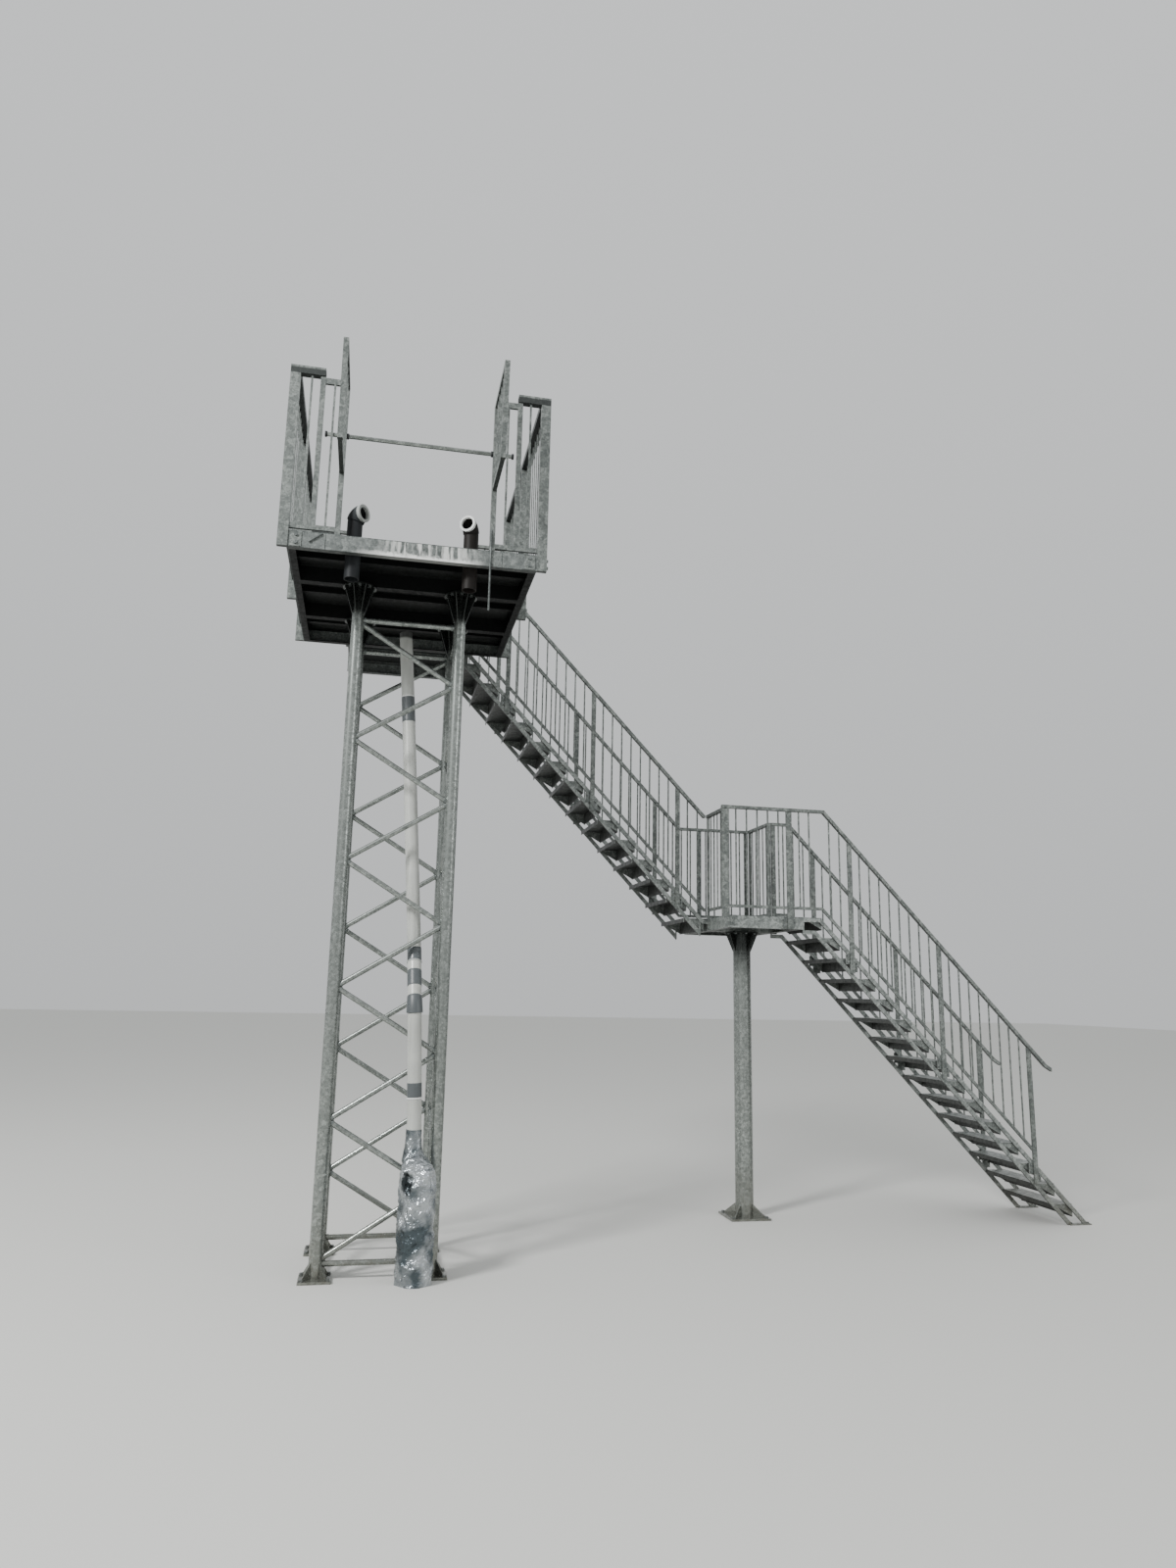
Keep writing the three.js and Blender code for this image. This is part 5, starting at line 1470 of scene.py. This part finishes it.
# %% Cross bar and hanging rod
ALONG_X = Vector((1, 0, 0))
ALONG_Z = Vector((0, 0, 1))
CROSS_BAR = (42, 6440)
CROSS_BAR_RADIUS = 16.85
CROSS_BAR_HALF = 755
RING_WIDE = 18
RING_RADIUS = 24
HANGING_ROD_HIGH = 679
BAR_RINGS = {
    "left_end": -CROSS_BAR_HALF, "left_guard": -584.7,
    "right_guard": 566.7, "right_end": CROSS_BAR_HALF - RING_WIDE,
}
turned(
    "round_cross_bar", here(-CROSS_BAR_HALF, *CROSS_BAR), ALONG_X,
    rounded_bar(2 * CROSS_BAR_HALF, CROSS_BAR_RADIUS, 3), tube_zinc, ["slide_cross_bar"],
)
for label, x in BAR_RINGS.items():
    turned(
        f"bar_ring_{label}", here(x, *CROSS_BAR), ALONG_X, rounded_bar(RING_WIDE, RING_RADIUS, 4),
        black_rubber,
    )
turned(
    "hanging_rod", here(593, -0.6, UNDERSIDE - 375), ALONG_Z, rounded_bar(HANGING_ROD_HIGH, 8, 2), grimy_zinc,
    ["drop_rod"], sides=16,
)
stub_from, stub_to = here(-814, 0.8, UNDERSIDE + 49), here(-712, 0.8, UNDERSIDE + 127)
turned(
    "beam_stub_rod", stub_from, (stub_to - stub_from).normalized(),
    rounded_bar((stub_to - stub_from).length * 1000, 6.5, 2), grimy_zinc,
    sides=12,
)
print("cross bar with", len(BAR_RINGS), "rubber rings")

# %% [markdown]
# ## Small plates
#
# Posts are bolted to the beams and to the stair's bars through small flat plates. Joints in the front beam
# are gaps a few millimetres wide. Both are slabs with a narrow chamfer, many to a piece.

# %% Slabs
def slabs(name, boxes, finish, chamfer=1.5):
    """One piece from many slabs. Each is a low and a high corner in drawing millimetres."""
    build = bmesh.new()
    for low, high in boxes:
        grown = bmesh.ops.create_cube(build, size=1.0)["verts"]
        near, far = here(*low), here(*high)
        for vert in grown:
            vert.co = Vector([near[i] + (far[i] - near[i]) * (vert.co[i] + 0.5) for i in range(3)])
    bmesh.ops.bevel(build, geom=build.edges[:], offset=chamfer / 1000, segments=1, affect="EDGES")
    return piece_from(name, build, finish)


# %% The slope of the two flights
LANDING_LEVEL = LANDING_UNDERSIDE + 120
RISE = 192.5
GOING = 182
UPPER_START = 600
LOWER_START = 4155


def upper_nosing(x):
    """The level of the line through the nosings of the upper flight."""
    return PLATFORM_LEVEL - (x - UPPER_START) * RISE / GOING


def lower_nosing(x):
    """The level of the line through the nosings of the lower flight."""
    return LANDING_LEVEL - (x - LOWER_START) * RISE / GOING


print("slope of the stair:", round(math.degrees(math.atan2(RISE, GOING)), 1), "degrees")

# %% Plates at the feet of the flights' posts
POST_HALF = 22.5
LEFT_PLATE_WIDE, LEFT_PLATE_HIGH = 45, 106
RIGHT_PLATE_WIDE, RIGHT_PLATE_HIGH = 34, 74
BELOW_NOSING = 123
PLATE_OFF_FACE = 0.4
PLATE_OUTER_FACE = 5.4
# Bolts stand this share of the plate's height above and below its middle
BOLT_SHARE = 0.27
# Where the posts of each flight stand: along it, and the nosing line they follow
FLIGHT_POSTS = [
    *[(x, upper_nosing, UPPER_SIDES) for x in (1058, 1960, 2862)],
    *[(x, lower_nosing, LOWER_SIDES) for x in (4452, 5382, 6312)],
]
flight_plates, flight_bolts = [], []
for post_x, nosing, (near_face, far_face) in FLIGHT_POSTS:
    beside_post = (
        (post_x - POST_HALF - LEFT_PLATE_WIDE, LEFT_PLATE_WIDE, LEFT_PLATE_HIGH),
        (post_x + POST_HALF, RIGHT_PLATE_WIDE, RIGHT_PLATE_HIGH),
    )
    for face, sign in ((near_face, -1), (far_face, 1)):
        for from_x, wide, high in beside_post:
            middle_x = from_x + wide / 2
            middle_z = nosing(middle_x) - BELOW_NOSING
            inner, outer = face + sign * PLATE_OFF_FACE, face + sign * PLATE_OUTER_FACE
            flight_plates.append((
                (from_x, min(inner, outer), middle_z - high / 2),
                (from_x + wide, max(inner, outer), middle_z + high / 2),
            ))
            for up in (-1, 1):
                bolt_z = middle_z + up * high * BOLT_SHARE
                flight_bolts.append((here(middle_x, outer, bolt_z), (0, sign, 0)))
slabs("flight_post_plates", flight_plates, bright_zinc)
print("plates on the flights:", len(flight_plates))

# %% Plates on the landing and on the platform's front edge
LANDING_FACE = LOWER_SIDES[0]
LANDING_PLATE_THICK = 5
# From, to, lowest, highest on the landing's front beam
LANDING_PLATES = [(3197, 3275, 2790, 2878), (3721, 3787, 2773, 2879), (3845, 3868, 2796, 2866)]
landing_bolts = []
for x0, x1, z0, z1 in LANDING_PLATES:
    for share in (0.25, 0.75):
        bolt_place = here((x0 + x1) / 2, LANDING_FACE - LANDING_PLATE_THICK, z0 + (z1 - z0) * share)
        landing_bolts.append((bolt_place, (0, -1, 0)))
slabs(
    "landing_beam_plates",
    [
        ((x0, LANDING_FACE - LANDING_PLATE_THICK, z0), (x1, LANDING_FACE - PLATE_OFF_FACE, z1))
        for x0, x1, z0, z1 in LANDING_PLATES
    ],
    bright_zinc,
)
CLAMP_FACE = 631.5
CLAMP_THICK = 6
clamp_y, clamp_z = CROSS_BAR
slabs(
    "cross_bar_clamps",
    [
        ((x, clamp_y - 32, clamp_z - 34), (x + CLAMP_THICK, clamp_y + 28, clamp_z + 34))
        for x in (-CLAMP_FACE, CLAMP_FACE - CLAMP_THICK)
    ],
    dull_zinc,
)
END_PLATES = (-911, 911)
END_PLATE_FACE = 2.6
slabs(
    "front_beam_end_plates",
    [
        ((x - 44, END_PLATE_FACE, UNDERSIDE + 4), (x + 44, FASCIA_FACE - PLATE_OFF_FACE, UNDERSIDE + 122))
        for x in END_PLATES
    ],
    bright_zinc,
)
# Black slabs under the low rail that stand for its shadow: painted shadow
slabs(
    "painted_shadow_under_low_rail",
    [((x - w, 14, UNDERSIDE + 128), (x + w, 40, UNDERSIDE + 152)) for x, w in ((-700, 90), (838, 18))],
    black_void,
)
JOINT_X = 690
JOINT_WIDE = 4
slabs(
    "front_beam_joints",
    [
        ((x, FASCIA_FACE - 0.8, UNDERSIDE + 2), (x + JOINT_WIDE, FASCIA_FACE + 0.6, UNDERSIDE + 124))
        for x in (-JOINT_X, JOINT_X - JOINT_WIDE)
    ],
    black_void, chamfer=0.2,
)
print("plates on the landing:", len(LANDING_PLATES), "and on the front beam:", len(END_PLATES))

# %% [markdown]
# ## Bolts
#
# A bolt is a six-sided head on a round washer. They are all the same, so one Geometry Nodes tree puts them
# on a list of points. Every point carries the direction its bolt looks in, and each head is turned by a
# random amount, because nobody lines up bolts. The seed is fixed.

# %% The tree for bolts
HEAD_SIDES, WASHER_SIDES = 6, 14
# Radius, height and lift of its middle, as shares of the thread's diameter
HEAD_SIZES = (0.87, 0.62, 0.45)
WASHER_SIZES = (0.95, 0.16, 0.07)

bolt_tree, bolt_in = new_tree("hex_bolts", Size="Float", Finish="Material")
bolt = put(bolt_tree, "GeometryNodeJoinGeometry")
for sides, shares in ((HEAD_SIDES, HEAD_SIZES), (WASHER_SIDES, WASHER_SIZES)):
    radius, high, lift = [
        put(bolt_tree, "ShaderNodeMath", {0: bolt_in["Size"], 1: share}, operation="MULTIPLY").outputs[0]
        for share in shares
    ]
    disc = put(bolt_tree, "GeometryNodeMeshCylinder", {"Vertices": sides, "Radius": radius, "Depth": high})
    up_by = put(bolt_tree, "ShaderNodeCombineXYZ", {"Z": lift})
    lifted = put(bolt_tree, "GeometryNodeTransform", {
        "Geometry": disc.outputs[0], "Translation": up_by.outputs[0],
    })
    bolt_tree.links.new(lifted.outputs[0], bolt.inputs[0])
facing = put(bolt_tree, "GeometryNodeInputNamedAttribute", {"Name": "facing"}, data_type="FLOAT_VECTOR")
aimed = put(bolt_tree, "FunctionNodeAlignRotationToVector", {"Vector": facing.outputs["Attribute"]}, axis="Z")
# Socket 3 is the largest random value, and a sixth of a turn brings a hexagon back to itself
spin = put(bolt_tree, "FunctionNodeRandomValue", {3: math.pi / 3, "Seed": 5})
about = put(bolt_tree, "ShaderNodeCombineXYZ", {"Z": spin.outputs[1]})
spun = put(bolt_tree, "FunctionNodeRotateRotation", {
    "Rotation": aimed.outputs[0], "Rotate By": about.outputs[0],
}, rotation_space="LOCAL")
on_points = put(bolt_tree, "GeometryNodeInstanceOnPoints", {
    "Points": bolt_in["Geometry"], "Instance": bolt.outputs[0], "Rotation": spun.outputs[0],
})
close_tree(bolt_tree, on_points.outputs[0], bolt_in["Finish"])
print("bolts:", len(bolt_tree.nodes), "nodes")

# %% Where the bolts are
# A thread is about this share of the width across the flats
THREAD_SHARE = 0.66
M12_FLATS, M16_FLATS, M20_FLATS = 18, 24, 30
DOWN, UP, FRONT = (0, 0, -1), (0, 0, 1), (0, -1, 0)


def bolts(name, places, size):
    """Bolts at (point, direction) pairs. The size is the width across the flats in millimetres."""
    points = bpy.data.meshes.new(name + "_points")
    points.from_pydata([point for point, _ in places], [], [])
    looking = points.attributes.new("facing", "FLOAT_VECTOR", "POINT")
    looking.data.foreach_set("vector", [c for _, direction in places for c in direction])
    grow(
        name, bolt_tree, "galvanised_steel", start=points, Size=size / 1000 * THREAD_SHARE, Finish=bolt_zinc,
    )


def round_about(x, y, z, radius, direction, count=8):
    """A ring of bolts about an upright axis."""
    angles = [2 * math.pi * k / count for k in range(count)]
    return [(here(x + radius * math.cos(a), y + radius * math.sin(a), z), direction) for a in angles]


FRONT_BOLT_LEVELS = (UNDERSIDE + 100, UNDERSIDE + 35)
bolts(
    "front_beam_bolts",
    [(here(x, END_PLATE_FACE, z), FRONT) for x in END_PLATES for z in FRONT_BOLT_LEVELS], M16_FLATS,
)
bolts("flight_plate_bolts", flight_bolts, M12_FLATS)
bolts("landing_plate_bolts", landing_bolts, M12_FLATS)

# %% Bolts of the mast and the column
FLANGE_MM = FLANGE_THICK * 1000
PLATE_MM = PLATE_THICK * 1000
MAST_BOLT_CIRCLE = 112
COLUMN_BOLT_CIRCLE = 138
MAST_ANCHORS = (-98, 98)
COLUMN_ANCHORS = (-165, 165)
head_bolts = []
for x, y in MAST.values():
    head_bolts += round_about(x, y, UNDERSIDE - CLEAR - FLANGE_MM, MAST_BOLT_CIRCLE, DOWN)
head_bolts += round_about(*COLUMN, LANDING_UNDERSIDE - CLEAR - FLANGE_MM, COLUMN_BOLT_CIRCLE, DOWN)
bolts("leg_head_bolts", head_bolts, M16_FLATS)
anchors = [
    (here(x + i, y + j, PLATE_MM), UP)
    for (x, y), offsets in [*[(foot, MAST_ANCHORS) for foot in MAST.values()], (COLUMN, COLUMN_ANCHORS)]
    for i in offsets for j in offsets
]
bolts("anchor_bolts", anchors, M20_FLATS)

# %% Bolts of the stair's feet, the side posts and the clamps
FOOT_PLATE_TOP = 12
FOOT_BOLTS_X = (6672, 6858)
FOOT_BOLTS_Y = (LOWER_SIDES[0] + 10, LOWER_SIDES[1] - 10)
bolts(
    "stair_foot_bolts", [(here(x, y, FOOT_PLATE_TOP), UP) for x in FOOT_BOLTS_X for y in FOOT_BOLTS_Y],
    M16_FLATS,
)
RIGHT_POST_FACE = 1050
RIGHT_POSTS_Y = (20, 1145, 2270)
POST_BOLT_LEVELS = (UNDERSIDE + 35, UNDERSIDE + 95)
bolts(
    "side_post_bolts",
    [(here(RIGHT_POST_FACE, y, z), (1, 0, 0)) for y in RIGHT_POSTS_Y for z in POST_BOLT_LEVELS], M16_FLATS,
)
CLAMP_BOLT_Y = clamp_y + 18
CLAMP_BOLT_LEVELS = (clamp_z - 24, clamp_z + 24)
bolts(
    "clamp_bolts",
    [
        (here(side * CLAMP_FACE, CLAMP_BOLT_Y, z), (side, 0, 0))
        for side in (-1, 1) for z in CLAMP_BOLT_LEVELS
    ],
    M12_FLATS,
)

# %% [markdown]
# ## Brackets under the treads
#
# Each tread hangs between the two bars of its stringer on a triangular cheek at either end: its point is at
# the back of the tread and its wide side at the nosing. One cheek is drawn, and a tree repeats it down the
# slope and on the far side.

# %% Repeating a shape down a flight
repeat_tree, repeat_in = new_tree(
    "repeat_along", Count="Int", Start="Vector", Step="Vector", Across="Vector", Finish="Material",
)
near_line = put(repeat_tree, "GeometryNodeMeshLine", {
    "Count": repeat_in["Count"], "Start Location": repeat_in["Start"], "Offset": repeat_in["Step"],
})
near_row = put(repeat_tree, "GeometryNodeInstanceOnPoints", {
    "Points": near_line.outputs[0], "Instance": repeat_in["Geometry"],
})
far_row = put(repeat_tree, "GeometryNodeTransform", {
    "Geometry": near_row.outputs[0], "Translation": repeat_in["Across"],
})
both_rows = put(repeat_tree, "GeometryNodeJoinGeometry")
for part in (near_row, far_row):
    repeat_tree.links.new(part.outputs[0], both_rows.inputs[0])
close_tree(repeat_tree, both_rows.outputs[0], repeat_in["Finish"])
print("repeating down a flight:", len(repeat_tree.nodes), "nodes")

# %% Cheeks of the treads
# X and Z from the nosing, in millimetres
CHEEK = [(-200, -6), (-5.2, -6), (-5.2, -112)]
CHEEK_THICK = 5
STEP_DOWN = (GOING / 1000, 0, -RISE / 1000)
# How many treads, where the first one's nosing is, the nosing line and the outer faces
FLIGHTS = {
    "upper": (14, UPPER_START + GOING, upper_nosing, UPPER_SIDES),
    "lower": (15, LOWER_START, lower_nosing, LOWER_SIDES),
}


def cheek_mesh(name):
    """A triangular plate, drawn from the nosing of its tread."""
    corners = [Vector((x, y, z)) / 1000 for y in (0, CHEEK_THICK) for x, z in CHEEK]
    mesh = bpy.data.meshes.new(name)
    mesh.from_pydata(corners, [], [(0, 2, 1), (3, 4, 5), (0, 1, 4, 3), (1, 2, 5, 4), (2, 0, 3, 5)])
    return mesh


for flight, (count, first_x, nosing, (near_face, far_face)) in FLIGHTS.items():
    grow(
        f"tread_cheeks_{flight}", repeat_tree, "weathered_galvanised_steel", start=cheek_mesh("cheek"),
        Count=count, Start=here(first_x, near_face + STRINGER_DEEP, nosing(first_x)), Step=STEP_DOWN,
        Across=Vector((0, (far_face - near_face - 2 * STRINGER_DEEP - CHEEK_THICK) / 1000, 0)),
        Finish=bright_zinc,
    )
